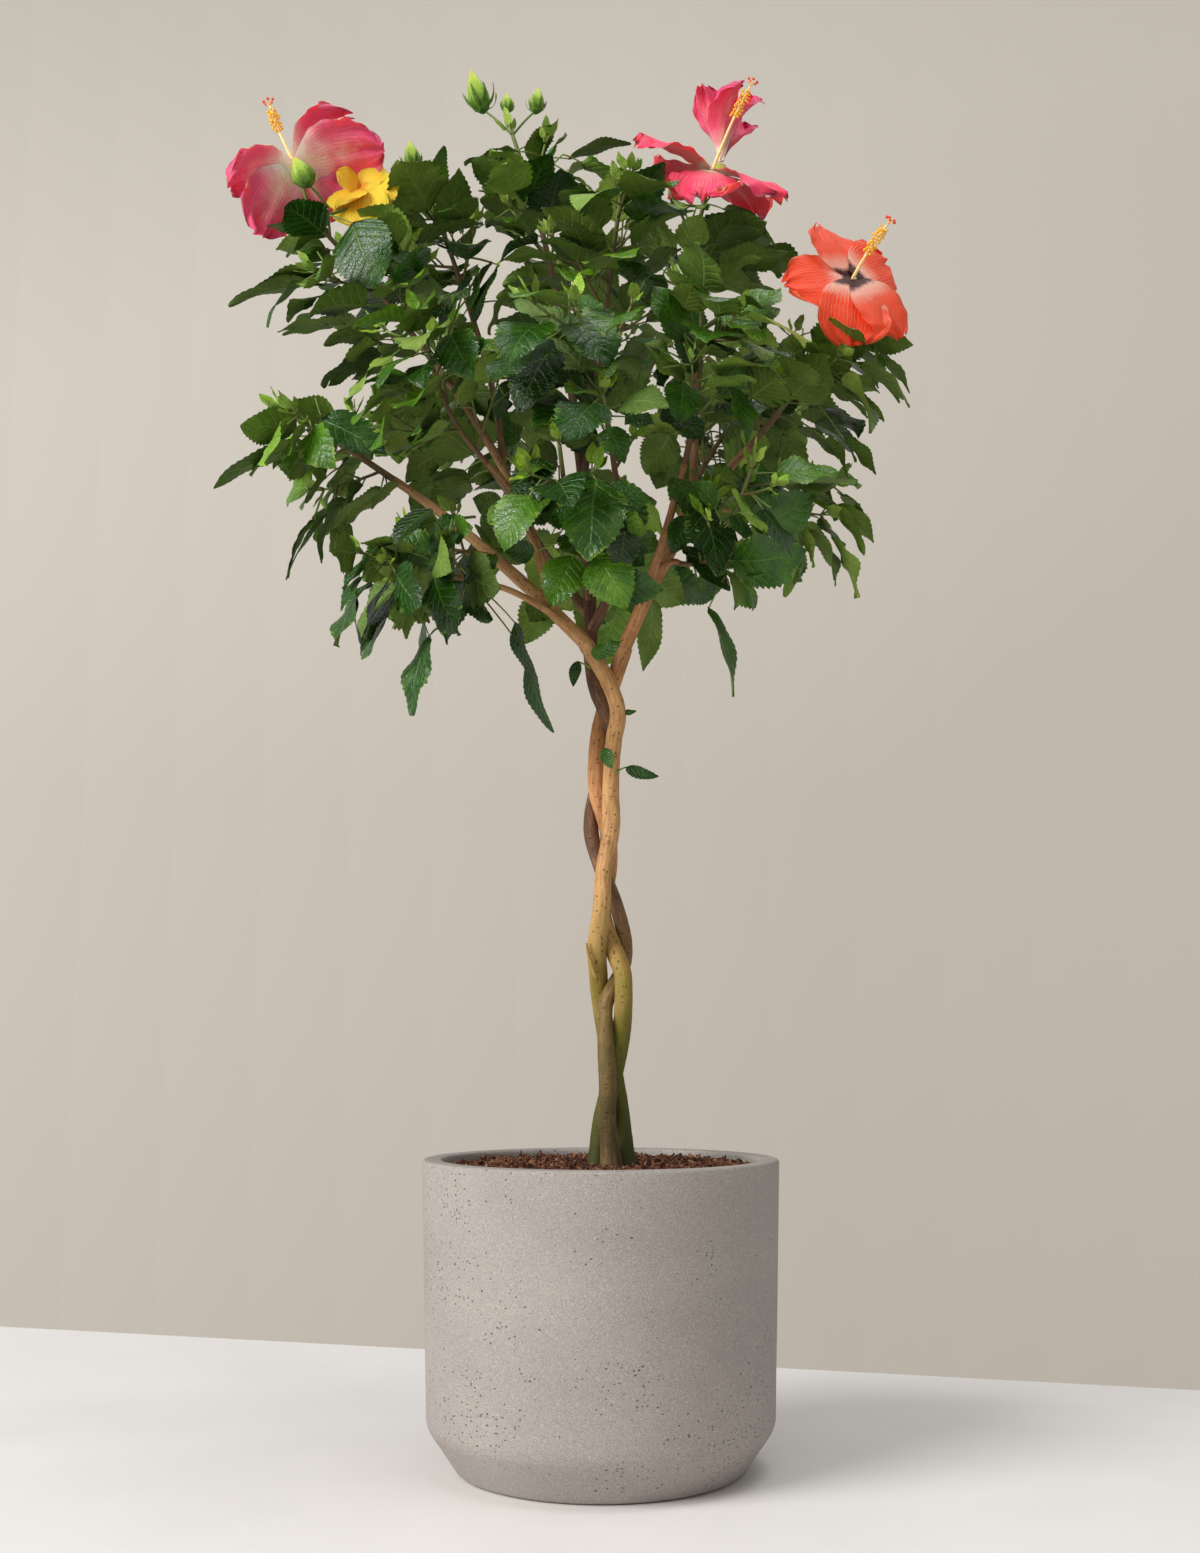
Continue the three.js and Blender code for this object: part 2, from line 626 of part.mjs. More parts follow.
// A thin closed blade: a double cone with its rim moved to the outline and its points to the middle
function bladeSolid(outline, middle, face, thickness) {
  const profile = [[0, -1], [1, 0], [0, 1]].map(([x, y]) => new THREE.Vector2(x, y));
  const geometry = new THREE.LatheGeometry(profile, outline.length);
  const place = geometry.attributes.position;
  for (let i = 0; i < place.count; i += 1) {
    const y = place.getY(i);
    let spot = middle.clone().addScaledVector(face, (y * thickness) / 2);
    if (Math.abs(y) < 0.5) {
      const turn = Math.atan2(place.getX(i), place.getZ(i)) / (2 * Math.PI);
      const k = Math.round(turn * outline.length + outline.length) % outline.length;
      spot = outline[k];
    }
    place.setXYZ(i, spot.x, spot.y, spot.z);
  }
  const solid = toSolid(geometry);
  return solid.volume() > 0 ? solid : toSolid(flipped(geometry));
}

function flipped(geometry) {
  const copy = geometry.clone();
  const order = copy.index.array;
  for (let i = 0; i < order.length; i += 3) [order[i + 1], order[i + 2]] = [order[i + 2], order[i + 1]];
  return copy;
}

function leafSolid(leaf) {
  return bladeSolid([leaf.root, leaf.left, leaf.tip, leaf.right], leaf.middle, leaf.face, LEAF_THICKNESS);
}

// The way a twig leaves another: a spread from its direction, turned round it
function branchDirection(direction, turn, spread) {
  const flat = Math.abs(direction.z) < 0.95 ? UP : new THREE.Vector3(1, 0, 0);
  const side = new THREE.Vector3().crossVectors(direction, flat).normalize();
  const other = new THREE.Vector3().crossVectors(side, direction);
  const out = side.multiplyScalar(Math.cos(turn)).addScaledVector(other, Math.sin(turn));
  const along = direction.clone().multiplyScalar(Math.cos(spread));
  return along.addScaledVector(out, Math.sin(spread)).normalize();
}

// The face of a blade looks out of the crown and up
function bladeFace(root, along, tilt) {
  const out = root.clone().sub(vec(CROWN_HEART)).normalize();
  const face = out.multiplyScalar(0.9).addScaledVector(UP, 0.55 + tilt);
  return face.addScaledVector(along, -face.dot(along)).normalize();
}

function seededLeaf(twig, t, turn, size, chance) {
  const last = twig.points.length - 1;
  const k = Math.min(Math.floor(t * last), last - 1);
  const root = twig.points[k].clone().lerp(twig.points[k + 1], t * last - k);
  const direction = tangents(twig.points)[k];
  const along = branchDirection(direction, turn, mix(0.85, 1.2, chance[0]));
  const out = root.clone().sub(vec(CROWN_HEART)).normalize();
  along.addScaledVector(out, 0.4).addScaledVector(UP, mix(-0.5, 0.05, chance[1])).normalize();
  const face = bladeFace(root, along, mix(-0.25, 0.35, chance[2]));
  const length = size * mix(LEAF_LENGTH[0], LEAF_LENGTH[1], chance[3]);
  const width = length * LEAF_WIDTH_RATIO * mix(0.85, 1.1, chance[4]);
  return leafShape(root, along, face, length, width, mix(0.15, 0.65, chance[5]), width * 0.07);
}

// One twig, shortened until it keeps to the space and clear of the limbs
function seededTwig(mass, leader, t, turn, chance, samples) {
  const last = leader.points.length - 1;
  const k = Math.min(Math.floor(t * last), last - 1);
  const start = leader.points[k].clone().lerp(leader.points[k + 1], t * last - k);
  const direction = branchDirection(tangents(leader.points)[k], turn, mix(0.8, 1.15, chance[0]));
  const length = mass.reach * mix(TWIG_LENGTH[0], TWIG_LENGTH[1], chance[1]);
  for (const scale of [1, 0.8, 0.6, 0.42]) {
    const end = start.clone().addScaledVector(direction, length * scale);
    end.z += length * scale * mix(0.05, 0.25, chance[2]);
    const points = bowed(start, end, vec([0, 0, -0.06 * length * scale]), TWIG_STEPS);
    const kept = points.slice(1).every((p) => inSpace(mass, p, TWIG_ROOM) && inReach(mass, p));
    if (kept && runClear(points, TWIG_RADII[1], samples)) {
      return { points, radii: TWIG_RADII };
    }
  }
  return null;
}

function draws(random, count) {
  return Array.from({ length: count }, () => random());
}

// Leaves along one twig, turning round it from leaf to leaf
function twigLeaves(mass, twig, from, random, leaves, samples) {
  let length = 0;
  for (let i = 1; i < twig.points.length; i += 1) length += twig.points[i].distanceTo(twig.points[i - 1]);
  const count = Math.max(2, Math.round((length * (1 - from)) / LEAF_SPACING));
  const firstTurn = random() * 2 * Math.PI;
  for (let i = 0; i < count; i += 1) {
    const chance = draws(random, 6);
    const t = mix(from, 0.97, count === 1 ? 1 : i / (count - 1));
    const leaf = fittingLeaf(mass, twig, t, firstTurn + i * TURN, chance, leaves, samples);
    if (leaf) leaves.push(leaf);
  }
}

function fittingLeaf(mass, twig, t, turn, chance, leaves, samples) {
  for (const size of [1, 0.84, 0.7]) {
    for (const extra of [0, 1.1, -1.1, 2.2]) {
      const leaf = seededLeaf(twig, t, turn + extra, size, chance);
      if (!inReach(mass, leaf.middle) || !inSpace(mass, leaf.tip, SPACE_MARGIN)) continue;
      if (leaves.some((other) => other.middle.distanceTo(leaf.middle) < LEAF_APART)) continue;
      const outline = leafOutline(leaf);
      if (mass.taken.some((other) => shapesCross(outline, other))) continue;
      if (!leafFits(mass, leaf, samples)) continue;
      mass.taken.push(outline);
      return leaf;
    }
  }
  return null;
}

// The nearest point of a mass's twigs
function nearestOnTwigs(twigs, target) {
  let best = null;
  for (const twig of twigs) {
    for (let i = 1; i < twig.points.length; i += 1) {
      for (let k = 0; k <= 4; k += 1) {
        const spot = twig.points[i - 1].clone().lerp(twig.points[i], k / 4);
        if (!best || spot.distanceTo(target) < best.distanceTo(target)) best = spot;
      }
    }
  }
  return best;
}

// A thin stalk from the nearest twig, ending a little inside what it carries
function stalkTo(twigs, base, inwards, radius) {
  const start = nearestOnTwigs(twigs, base);
  const end = base.clone().addScaledVector(inwards, 3);
  const sag = start.distanceTo(end) * 0.08;
  return { points: bowed(start, end, vec([0, 0, sag]), 2), radii: tapered(radius, radius * 0.85, 2) };
}

function singleLeaf(spec, twigs) {
  const base = vec(spec.base);
  const tip = vec(spec.tip);
  const along = tip.clone().sub(base).normalize();
  const face = bladeFace(base, along, 0);
  const right = new THREE.Vector3().crossVectors(along, face).normalize();
  const length = base.distanceTo(tip);
  const middle = base.clone().lerp(tip, 0.5).addScaledVector(face, length * 0.07);
  const widest = base.clone().lerp(tip, 0.4).addScaledVector(face, length * 0.07 + spec.width * 0.07);
  return {
    root: nearestOnTwigs(twigs, base),
    tip,
    middle,
    right: widest.clone().addScaledVector(right, spec.width / 2),
    left: widest.clone().addScaledVector(right, -spec.width / 2),
    face,
  };
}

// Flower: five broad petals round a column, in front of a calyx
function flowerFrame(spec) {
  const axis = vec(spec.axis).normalize();
  const side = new THREE.Vector3().crossVectors(axis, new THREE.Vector3(0, 1, 0)).normalize();
  return { centre: vec(spec.centre), axis, side, other: new THREE.Vector3().crossVectors(axis, side) };
}

function petalOutline(spec, frame, k) {
  const turn = spec.roll + (k * 2 * Math.PI) / PETALS;
  const out = frame.side.clone().multiplyScalar(Math.cos(turn)).addScaledVector(frame.other, Math.sin(turn));
  const across = new THREE.Vector3().crossVectors(frame.axis, out);
  const flat = out.clone().multiplyScalar(Math.cos(spec.cup));
  const along = flat.addScaledVector(frame.axis, Math.sin(spec.cup));
  const spot = (forward, sideways, lift) => frame.centre.clone()
    .addScaledVector(along, forward * spec.petal)
    .addScaledVector(across, sideways * spec.petal * spec.breadth)
    .addScaledVector(frame.axis, lift * spec.petal);
  const outline = [
    spot(PETAL_ROOT, 0, 0), spot(0.45, -0.27, 0.02), spot(0.86, -0.3, -0.04),
    spot(1, 0, -0.07), spot(0.86, 0.3, 0.02), spot(0.45, 0.27, 0.05),
  ];
  const face = new THREE.Vector3().crossVectors(along, across).negate();
  return { outline, middle: spot(0.55, 0, 0.03), face };
}

function flowerSolids(spec) {
  const frame = flowerFrame(spec);
  const solids = [];
  const shapes = [];
  for (let k = 0; k < PETALS; k += 1) {
    const { outline, middle, face } = petalOutline(spec, frame, k);
    solids.push(bladeSolid(outline, middle, face, PETAL_THICKNESS));
    shapes.push(thinShape(outline, middle));
  }
  const end = frame.centre.clone().addScaledVector(frame.axis, spec.petal * COLUMN_RATIO);
  const foot = frame.centre.clone().addScaledVector(frame.axis, -CALYX_LENGTH * 0.4);
  const radii = [COLUMN_RADIUS * 1.4, COLUMN_RADIUS];
  solids.push(toSolid(limbGeometry({ points: [foot, end], radii, sides: TWIG_SIDES })));
  const calyxFoot = frame.centre.clone().addScaledVector(frame.axis, -CALYX_LENGTH);
  const throat = frame.centre.clone().addScaledVector(frame.axis, CALYX_LENGTH * 0.3);
  solids.push(spindle(calyxFoot, throat, CALYX_WIDTH, 0.77));
  return { solids, shapes, foot: calyxFoot, axis: frame.axis };
}

// A bud or calyx: a double cone, widest part of the way up
function spindle(base, tip, width, widest = 0.38) {
  const length = base.distanceTo(tip);
  const axis = tip.clone().sub(base).normalize();
  const points = [0, widest, 1].map((t) => base.clone().addScaledVector(axis, length * t));
  const radii = [width * 0.16, width / 2, width * 0.07];
  return toSolid(limbGeometry({ points, radii, sides: BUD_SIDES }));
}

function massLeader(mass, bough) {
  const last = bough.points.length - 1;
  const direction = tangents(bough.points)[last];
  const start = bough.points[last].clone().addScaledVector(direction, GAP + 0.05);
  const end = vec(mass.leader);
  const control = start.clone().addScaledVector(direction, start.distanceTo(end) * 0.45);
  const bow = control.sub(start.clone().add(end).multiplyScalar(0.5));
  const points = bowed(start, end, bow, LEADER_STEPS);
  return { points, radii: tapered(bough.radii[last], LEADER_TIP, LEADER_STEPS), foot: direction };
}

// Everything that one mass is made of, before it is fused
function massParts(mass, index, bough, samples) {
  const random = seeded(1000 + index * 77);
  const leader = massLeader(mass, bough);
  const twigs = [leader];
  const firstTurn = random() * 2 * Math.PI;
  for (let i = 0; i < TWIGS_PER_MASS; i += 1) {
    const chance = draws(random, 3);
    const t = mix(0.12, 0.86, i / (TWIGS_PER_MASS - 1));
    const twig = seededTwig(mass, leader, t, firstTurn + i * TURN, chance, samples);
    if (twig) twigs.push(twig);
  }
  const stalks = [];
  const leaves = [];
  for (const spec of SINGLE_LEAVES.filter((item) => item.mass === mass.name)) {
    const leaf = singleLeaf(spec, twigs);
    if (!leafFits(mass, leaf, samples)) continue;
    leaves.push(leaf);
    mass.taken.push(leafOutline(leaf));
  }
  const extras = [];
  for (const spec of FLOWERS.filter((item) => item.mass === mass.name)) {
    const flower = flowerSolids(spec);
    extras.push(...flower.solids);
    mass.taken.push(...flower.shapes);
    stalks.push(stalkTo(twigs, flower.foot, flower.axis, PETIOLE_RADIUS * 1.3));
  }
  for (const spec of BUDS.filter((item) => item.mass === mass.name)) {
    const base = vec(spec.base);
    const axis = vec(spec.tip).sub(base).normalize();
    extras.push(spindle(base, vec(spec.tip), spec.width));
    stalks.push(stalkTo(twigs, base, axis, PETIOLE_RADIUS));
  }
  for (const run of [...twigs, ...stalks]) mass.taken.push(...runShapes(run.points));
  twigLeaves(mass, leader, 0.3, random, leaves, samples);
  for (const twig of twigs.slice(1)) twigLeaves(mass, twig, 0.3, random, leaves, samples);
  return { twigs, stalks, leaves, extras };
}

function massGeometry({ twigs, stalks, leaves, extras }) {
  const solids = [...twigs, ...stalks].map((run) => toSolid(limbGeometry({ ...run, sides: TWIG_SIDES })));
  solids.push(...leaves.map(leafSolid), ...extras);
  const fused = solids.reduce((sum, solid) => sum.add(solid));
  return toGeometry(largest(toSolid(toGeometry(fused), COARSE_WELD)));
}

addPiece("pot", planter(), PLANTER_GREY);
addPiece("soil", soil(), SOIL_BROWN);

const stems = braidedStems();
const stemLooks = [BARK_TAN, BARK_BROWN, BARK_OCHRE];
stems.forEach((stem, i) => {
  addPiece("stem_" + stem.name, limbGeometry(stem), stemLooks[i]);
});

const limbs = [...stems];
for (const spec of BOUGHS) {
  const limb = boughLimb(spec, limbs);
  limbs.push(limb);
  addPiece("bough_" + limb.name, boughGeometry(limb), BARK_TAN);
}

const samples = limbSamples(limbs);
for (const mass of MASSES) {
  mass.centre = vec(mass.middle);
  mass.taken = [];
}
for (const mass of MASSES) mass.others = MASSES.filter((other) => other !== mass);
MASSES.forEach((mass, index) => {
  const bough = limbs.find((limb) => limb.name === mass.bough);
  const parts = massParts(mass, index, bough, samples);
  addPiece("foliage_" + mass.name, massGeometry(parts), LEAF_GREEN);
});

export default group;
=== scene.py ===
# Braided hibiscus standard in a round planter: its looks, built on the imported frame.
# The growth rule works in millimetres, as the solids do; the meshes are made in metres.
import json
import math
from collections import namedtuple

import bpy
import numpy as np
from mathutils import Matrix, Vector, noise

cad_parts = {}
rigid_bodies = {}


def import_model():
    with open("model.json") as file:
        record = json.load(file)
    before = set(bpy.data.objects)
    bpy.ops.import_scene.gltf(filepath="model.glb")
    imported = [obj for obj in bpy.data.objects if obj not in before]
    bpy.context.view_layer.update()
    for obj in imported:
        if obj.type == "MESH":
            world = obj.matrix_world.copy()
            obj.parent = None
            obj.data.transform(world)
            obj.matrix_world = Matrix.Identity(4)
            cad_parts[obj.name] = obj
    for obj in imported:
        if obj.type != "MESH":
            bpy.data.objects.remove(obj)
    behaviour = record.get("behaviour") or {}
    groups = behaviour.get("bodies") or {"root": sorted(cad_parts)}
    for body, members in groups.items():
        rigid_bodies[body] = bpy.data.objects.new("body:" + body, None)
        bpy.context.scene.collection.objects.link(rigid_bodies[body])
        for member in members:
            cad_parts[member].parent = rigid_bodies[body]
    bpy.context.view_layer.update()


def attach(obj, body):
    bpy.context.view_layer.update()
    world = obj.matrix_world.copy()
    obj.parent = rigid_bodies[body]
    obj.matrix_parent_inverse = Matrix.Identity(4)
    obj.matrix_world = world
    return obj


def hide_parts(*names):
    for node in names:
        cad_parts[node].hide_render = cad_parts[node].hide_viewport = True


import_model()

# ---- sizes shared with the solids
RIM_HEIGHT, RIM_RADIUS, WALL, FLOOR = 248.1, 150, 17, 18
WALL_FOOT_RADIUS, CHAMFER_HEIGHT, BASE_RADIUS = 143.6, 35.9, 118
SOIL_LEVEL, GAP = 240, 0.3

STEM_STEPS = 33
STEM_FOOT_RADIUS, STEM_RADIUS, STEM_TOP_RADIUS = 9.7, 7.8, 6.6
FLARE_HEIGHT, STEM_CLEARANCE, PUSH_ROUNDS, PUSH_SHARE = 38, 1.2, 120, 0.15
STEM_SLIMMING = (0, 0.18, 0)

# Where each stem stands at each height: tan, brown, ochre
BRAID = [
    (240.3, (20.4, 6), (9, -12), (-2, 6)), (280, (17.3, 13.2), (5.5, -14.6), (1.4, 3.9)),
    (309, (12.4, 17.7), (5.9, -16.2), (8.8, 1)), (351, (4.8, 18.2), (3.9, -14.5), (17.1, -5.1)),
    (380, (-0.2, 13.9), (5.3, -5.2), (19, -12.1)), (406, (-2.5, 0.6), (17.8, 6.6), (17.8, -8.8)),
    (427, (-3, -10.2), (20.8, 10.8), (9.1, 0.7)), (462, (1.1, -15.5), (13.6, 5.3), (0.9, 13.6)),
    (492, (2.9, -14.7), (1, 2.6), (6.4, 17.3)), (527, (8.9, -11.6), (-8.3, 10.5), (5.9, 8.9)),
    (562, (8.6, -10.1), (-4.4, 18.6), (-3.1, 0.1)), (602, (10.7, -11.5), (11.8, 8.4), (-2.8, 7.3)),
    (629, (14.9, -12.8), (5.5, -2.1), (1.5, 13.3)), (656, (6.5, -12.1), (-5, -1.4), (9.8, 6.1)),
    (690, (-13, -13), (-9, 5), (21, -1)),
]

# Boughs: name, parent, place along it, tip, bow, radius at butt and tip
BOUGHS = [
    ("left", "tan", 1, (-184, -20, 838), (-8, 0, 22), (6.6, 3.2)),
    ("crown_leader", "brown", 1, (-38, 2, 1004), (14, -2, -10), (6.4, 3)),
    ("right", "ochre", 1, (134, 3, 876), (-8, 0, 28), (6.6, 3.2)),
    ("upper_left", "left", 0.16, (-150, -32, 944), (34, 0, 0), (4.9, 3)),
    ("low_left", "left", 0.05, (-108, -44, 738), (0, -6, 16), (3.4, 2.4)),
    ("mid_left", "upper_left", 0.36, (-98, -62, 838), (6, -8, 4), (3, 2.4)),
    ("top_left", "upper_left", 0.55, (-118, -4, 1000), (8, 6, 6), (3, 2.4)),
    ("centre_front", "crown_leader", 0.05, (14, -66, 812), (22, -6, -8), (4.8, 2.8)),
    ("low_front", "crown_leader", 0.14, (-20, -48, 770), (0, -4, 10), (3.2, 2.4)),
    ("centre_top", "crown_leader", 0.5, (0, -32, 944), (4, -10, 0), (3.2, 2.4)),
    ("right_front", "right", 0.06, (72, -66, 836), (4, -22, -6), (4.6, 2.8)),
    ("right_low", "right", 0.3, (70, -30, 758), (0, -6, 10), (3.2, 2.4)),
    ("top_right", "right", 0.55, (82, 20, 1000), (10, 4, -10), (4, 2.8)),
    ("right_outer", "right", 0.6, (126, 22, 822), (0, 4, 6), (3, 2.4)),
    ("back_left", "crown_leader", 0.1, (-84, 72, 850), (0, 10, -6), (4.4, 2.8)),
    ("back_low", "crown_leader", 0.2, (-4, 70, 800), (0, 6, 4), (3.6, 2.6)),
    ("back_top", "crown_leader", 0.45, (-16, 74, 960), (0, 14, -6), (3.8, 2.6)),
    ("back_right", "right", 0.25, (82, 76, 850), (0, 14, 4), (4.2, 2.8)),
    ("back_left_low", "left", 0.45, (-108, 50, 790), (0, 8, 6), (3, 2.4)),
]
BOUGH_STEPS = 5

# Foliage: name, middle and radius of its space, its leader's tip, how bright the spray is
MASSES = [
    ("left_tip", (-222, -22, 822), 92, (-283, -24, 900), 0.3),
    ("upper_left", (-207, -44, 998), 90, (-258, -52, 1070), 0.22),
    ("low_left", (-152, -66, 732), 76, (-200, -80, 752), 0.16),
    ("mid_left", (-128, -92, 886), 88, (-150, -120, 944), 0.3),
    ("top_left", (-140, 2, 1050), 80, (-152, 2, 1100), 0.3),
    ("top_leader", (-54, 2, 1084), 83, (-82, 0, 1178), 0.34),
    ("centre_front", (-14, -126, 878), 90, (-20, -160, 936), 0.16),
    ("low_front", (-26, -98, 792), 76, (-34, -142, 826), 0.2),
    ("centre_top", (10, -66, 1012), 88, (18, -88, 1076), 0.22),
    ("right_front", (86, -104, 904), 90, (84, -128, 970), 0.24),
    ("right_low", (116, -64, 794), 68, (126, -104, 818), 0.3),
    ("top_right", (88, 10, 1060), 84, (98, 0, 1122), 0.26),
    ("right_tip", (196, -6, 912), 86, (212, -14, 984), 0.4),
    ("right_outer", (172, 32, 834), 76, (216, 36, 852), 0.4),
    ("back_left", (-138, 118, 906), 96, (-172, 142, 966), 0.24),
    ("back_low", (-4, 140, 806), 96, (0, 194, 818), 0.24),
    ("back_top", (-22, 112, 1034), 98, (-26, 134, 1100), 0.26),
    ("back_right", (130, 122, 922), 100, (154, 148, 986), 0.3),
    ("back_left_low", (-136, 86, 794), 80, (-170, 106, 818), 0.24),
]
# The boughs of the masses that are named otherwise than their bough
TIP_BOUGHS = {"left_tip": "left", "top_leader": "crown_leader", "right_tip": "right"}

# How grown leaves, twigs and stalks come out, and how far apart they keep
TWIGS_PER_MASS, LEADER_STEPS, TWIG_RADII, LEADER_TIP, TWIG_ROOM = 5, 3, (1.1, 1.4), 1.9, 6
TWIG_LENGTH, LEAF_LENGTH, LEAF_WIDTH_RATIO = (0.5, 0.72), (68, 98), 0.58
LEAF_SPACING, LEAF_APART, LEAF_ROOT_CLEAR, LEAF_THICKNESS = 13, 13, 6, 1.3
PETIOLE_RADIUS, TURN, SPACE_MARGIN, LIMB_MARGIN, SAMPLE_STEP = 1.3, 2.39996, 0.7, 1.1, 4

# Leaves that stand clear of the rest, by mass: blade base, blade tip, width
SINGLE_LEAVES = {
    "left_tip": [
        (-262, -25, 866, -340, -34, 825, 38), (-247, -40, 886, -186, -50, 849, 44),
        (-190, -50, 818, -236, -56, 776, 38), (-234, -28, 810, -274, -34, 742, 22)],
    "upper_left": [
        (-245, -45, 1009, -329, -50, 987, 30), (-217, -78, 1052, -192, -86, 988, 60),
        (-241, -45, 1060, -279, -50, 1033, 28), (-224, -50, 970, -284, -54, 961, 22)],
    "top_left": [
        (-166, -42, 1050, -105, -48, 1066, 42)],
    "low_left": [
        (-172, -72, 721, -201, -80, 664, 28), (-139, -98, 728, -116, -106, 675, 56),
        (-143, -80, 681, -157, -84, 612, 38), (-169, -86, 766, -214, -98, 716, 42),
        (-74, -46, 702, -54, -48, 652, 26), (-62, -40, 672, -40, -46, 605, 29)],
    "low_front": [
        (-4, -134, 800, -10, -146, 726, 58), (-52, -112, 826, -60, -122, 776, 40),
        (4, -96, 722, 52, -104, 714, 32)],
    "right_low": [
        (82, -88, 798, 98, -96, 728, 54), (92, -50, 714, 112, -55, 634, 30)],
    "centre_front": [
        (-40, -138, 912, -66, -152, 848, 48), (-22, -146, 938, 6, -158, 884, 54)],
    "right_front": [
        (110, -104, 892, 121, -112, 838, 32), (68, -122, 888, 64, -136, 846, 34),
        (52, -112, 868, 84, -122, 836, 36)],
    "centre_top": [
        (24, -90, 1010, 34, -106, 968, 36)],
    "top_leader": [
        (-30, -20, 1143, 28, -10, 1164, 28)],
    "right_tip": [
        (228, -12, 950, 267, -20, 909, 27), (206, -8, 935, 254, -14, 894, 34),
        (219, -5, 880, 246, -10, 846, 32)],
    "right_outer": [
        (205, 10, 826, 236, 6, 776, 28), (174, 6, 812, 172, 2, 748, 30)],
    "top_right": [
        (112, -6, 1102, 160, -14, 1060, 34)],
    "back_low": [
        (48, 92, 760, 40, 98, 690, 27)],
}
# Leaves that fill the crown further, beside those of the solids
MORE_LEAVES = {
    "back_right": [
        (67, 100, 913, 54, 108, 872, 35), (82, 110, 907, 75, 118, 849, 36), (67, 90, 922, 44, 98, 883, 40)],
    "top_left": [
        (-92, -20, 1041, -113, -28, 982, 46), (-88, 0, 1016, -102, 0, 982, 34),
        (-152, 0, 1072, -130, -8, 1052, 30), (-99, -10, 1048, -115, -18, 997, 36),
        (-158, -10, 1074, -123, -18, 1047, 38)],
    "top_leader": [
        (-102, -20, 1080, -69, -28, 1064, 30), (-74, -40, 1139, -97, -40, 1141, 14),
        (-69, -10, 1162, -43, -18, 1162, 17), (-95, -20, 1073, -74, -28, 1058, 28)],
    "upper_left": [
        (-196, 0, 965, -246, -8, 930, 32), (-192, 0, 956, -225, -8, 936, 30),
        (-237, -40, 972, -281, -48, 961, 18), (-201, -50, 1040, -219, -58, 1014, 34),
        (-198, -10, 964, -250, -18, 925, 40), (-187, -10, 950, -220, -18, 925, 30),
        (-186, -60, 1035, -151, -68, 1003, 38)],
    "left_tip": [
        (-188, -10, 828, -227, -18, 797, 36), (-211, -20, 833, -227, -28, 809, 26),
        (-256, 0, 808, -277, -8, 751, 20), (-257, 0, 808, -277, -8, 751, 18),
        (-211, -20, 833, -226, -28, 802, 30), (-179, -20, 833, -202, -28, 808, 30)],
    "back_left_low": [
        (-68, 60, 786, -117, 52, 819, 34), (-80, 60, 801, -111, 52, 828, 30)],
    "back_left": [
        (-95, 100, 849, -122, 92, 858, 26), (-49, 110, 919, -54, 102, 885, 36),
        (-139, 110, 984, -105, 102, 943, 32), (-79, 100, 953, -70, 92, 931, 26),
        (-49, 110, 922, -54, 102, 885, 34)],
    "right_tip": [
        (202, -20, 924, 237, -28, 892, 36), (204, 10, 887, 222, 2, 848, 32),
        (229, 50, 900, 250, 42, 868, 26), (212, -40, 923, 234, -48, 889, 30)],
    "right_low": [
        (71, -50, 768, 86, -58, 751, 28), (83, -40, 737, 106, -48, 735, 24),
        (115, -90, 782, 119, -98, 760, 30), (78, -50, 758, 111, -50, 728, 24),
        (74, -40, 764, 83, -48, 750, 24), (62, -80, 820, 81, -88, 774, 36), (72, -70, 789, 60, -62, 758, 28)],
    "right_front": [
        (47, -120, 901, 53, -112, 887, 30)],
    "centre_top": [
        (32, -30, 977, 66, -30, 956, 30)],
    "centre_front": [
        (20, -120, 858, 45, -128, 848, 26)],
    "low_left": [
        (-208, -70, 722, -202, -70, 676, 26), (-123, -40, 707, -148, -48, 688, 26),
        (-140, -110, 782, -170, -118, 748, 34), (-119, -100, 766, -143, -108, 732, 32),
        (-88, -90, 749, -112, -98, 721, 28)],
    "right_outer": [
        (203, 70, 882, 216, 62, 839, 28)],
    "low_front": [
        (-57, -60, 758, -83, -68, 762, 20), (20, -120, 760, 15, -112, 730, 30)],
    "mid_left": [
        (-123, -150, 918, -103, -158, 875, 38), (-144, -130, 946, -166, -138, 910, 38),
        (-111, -150, 957, -135, -158, 927, 36), (-75, -90, 903, -88, -82, 866, 36)],
}

# Flowers, their petals' rises above the flower's plane, and the roll of the first petal
PETALS, PETAL_ROOT = 5, 0.035
CALYX_LENGTH, CALYX_WIDTH = 22, 12
Flower = namedtuple("Flower", "mass centre axis length rises roll breadth look")
FLOWERS = [Flower(*row) for row in (
    ("upper_left", (-272, -58, 1116), (-0.3, 0.3, 0.9), 74,
     (-0.1, -0.6, -0.05, -0.3, -0.15), 0.5, 1.25, "rose"),
    ("upper_left", (-215, -44, 1101), (-0.5, 0.1, 0.8), 37, (0.2, 0.2, 0.2, 0.2, 0.2), 0.2, 1, "yellow"),
    ("top_right", (103, -6, 1140), (0.26, -0.12, 0.95), 76, (0.12, -0.6, -0.12, 0, 0.05), 0.31, 1.3, "coral"),
    ("top_right", (114, 34, 1168), (0.1, -0.05, 0.95), 74, (1.2, 1.1, 1.25, 1.1, 1.2), 0.4, 0.9, "pink"),
    ("right_tip", (224, -42, 1016), (0.36, -0.86, 0.34), 68,
     (0.05, 0.02, 0.1, 0.15, 1), -0.33, 1.3, "orange"),
)]

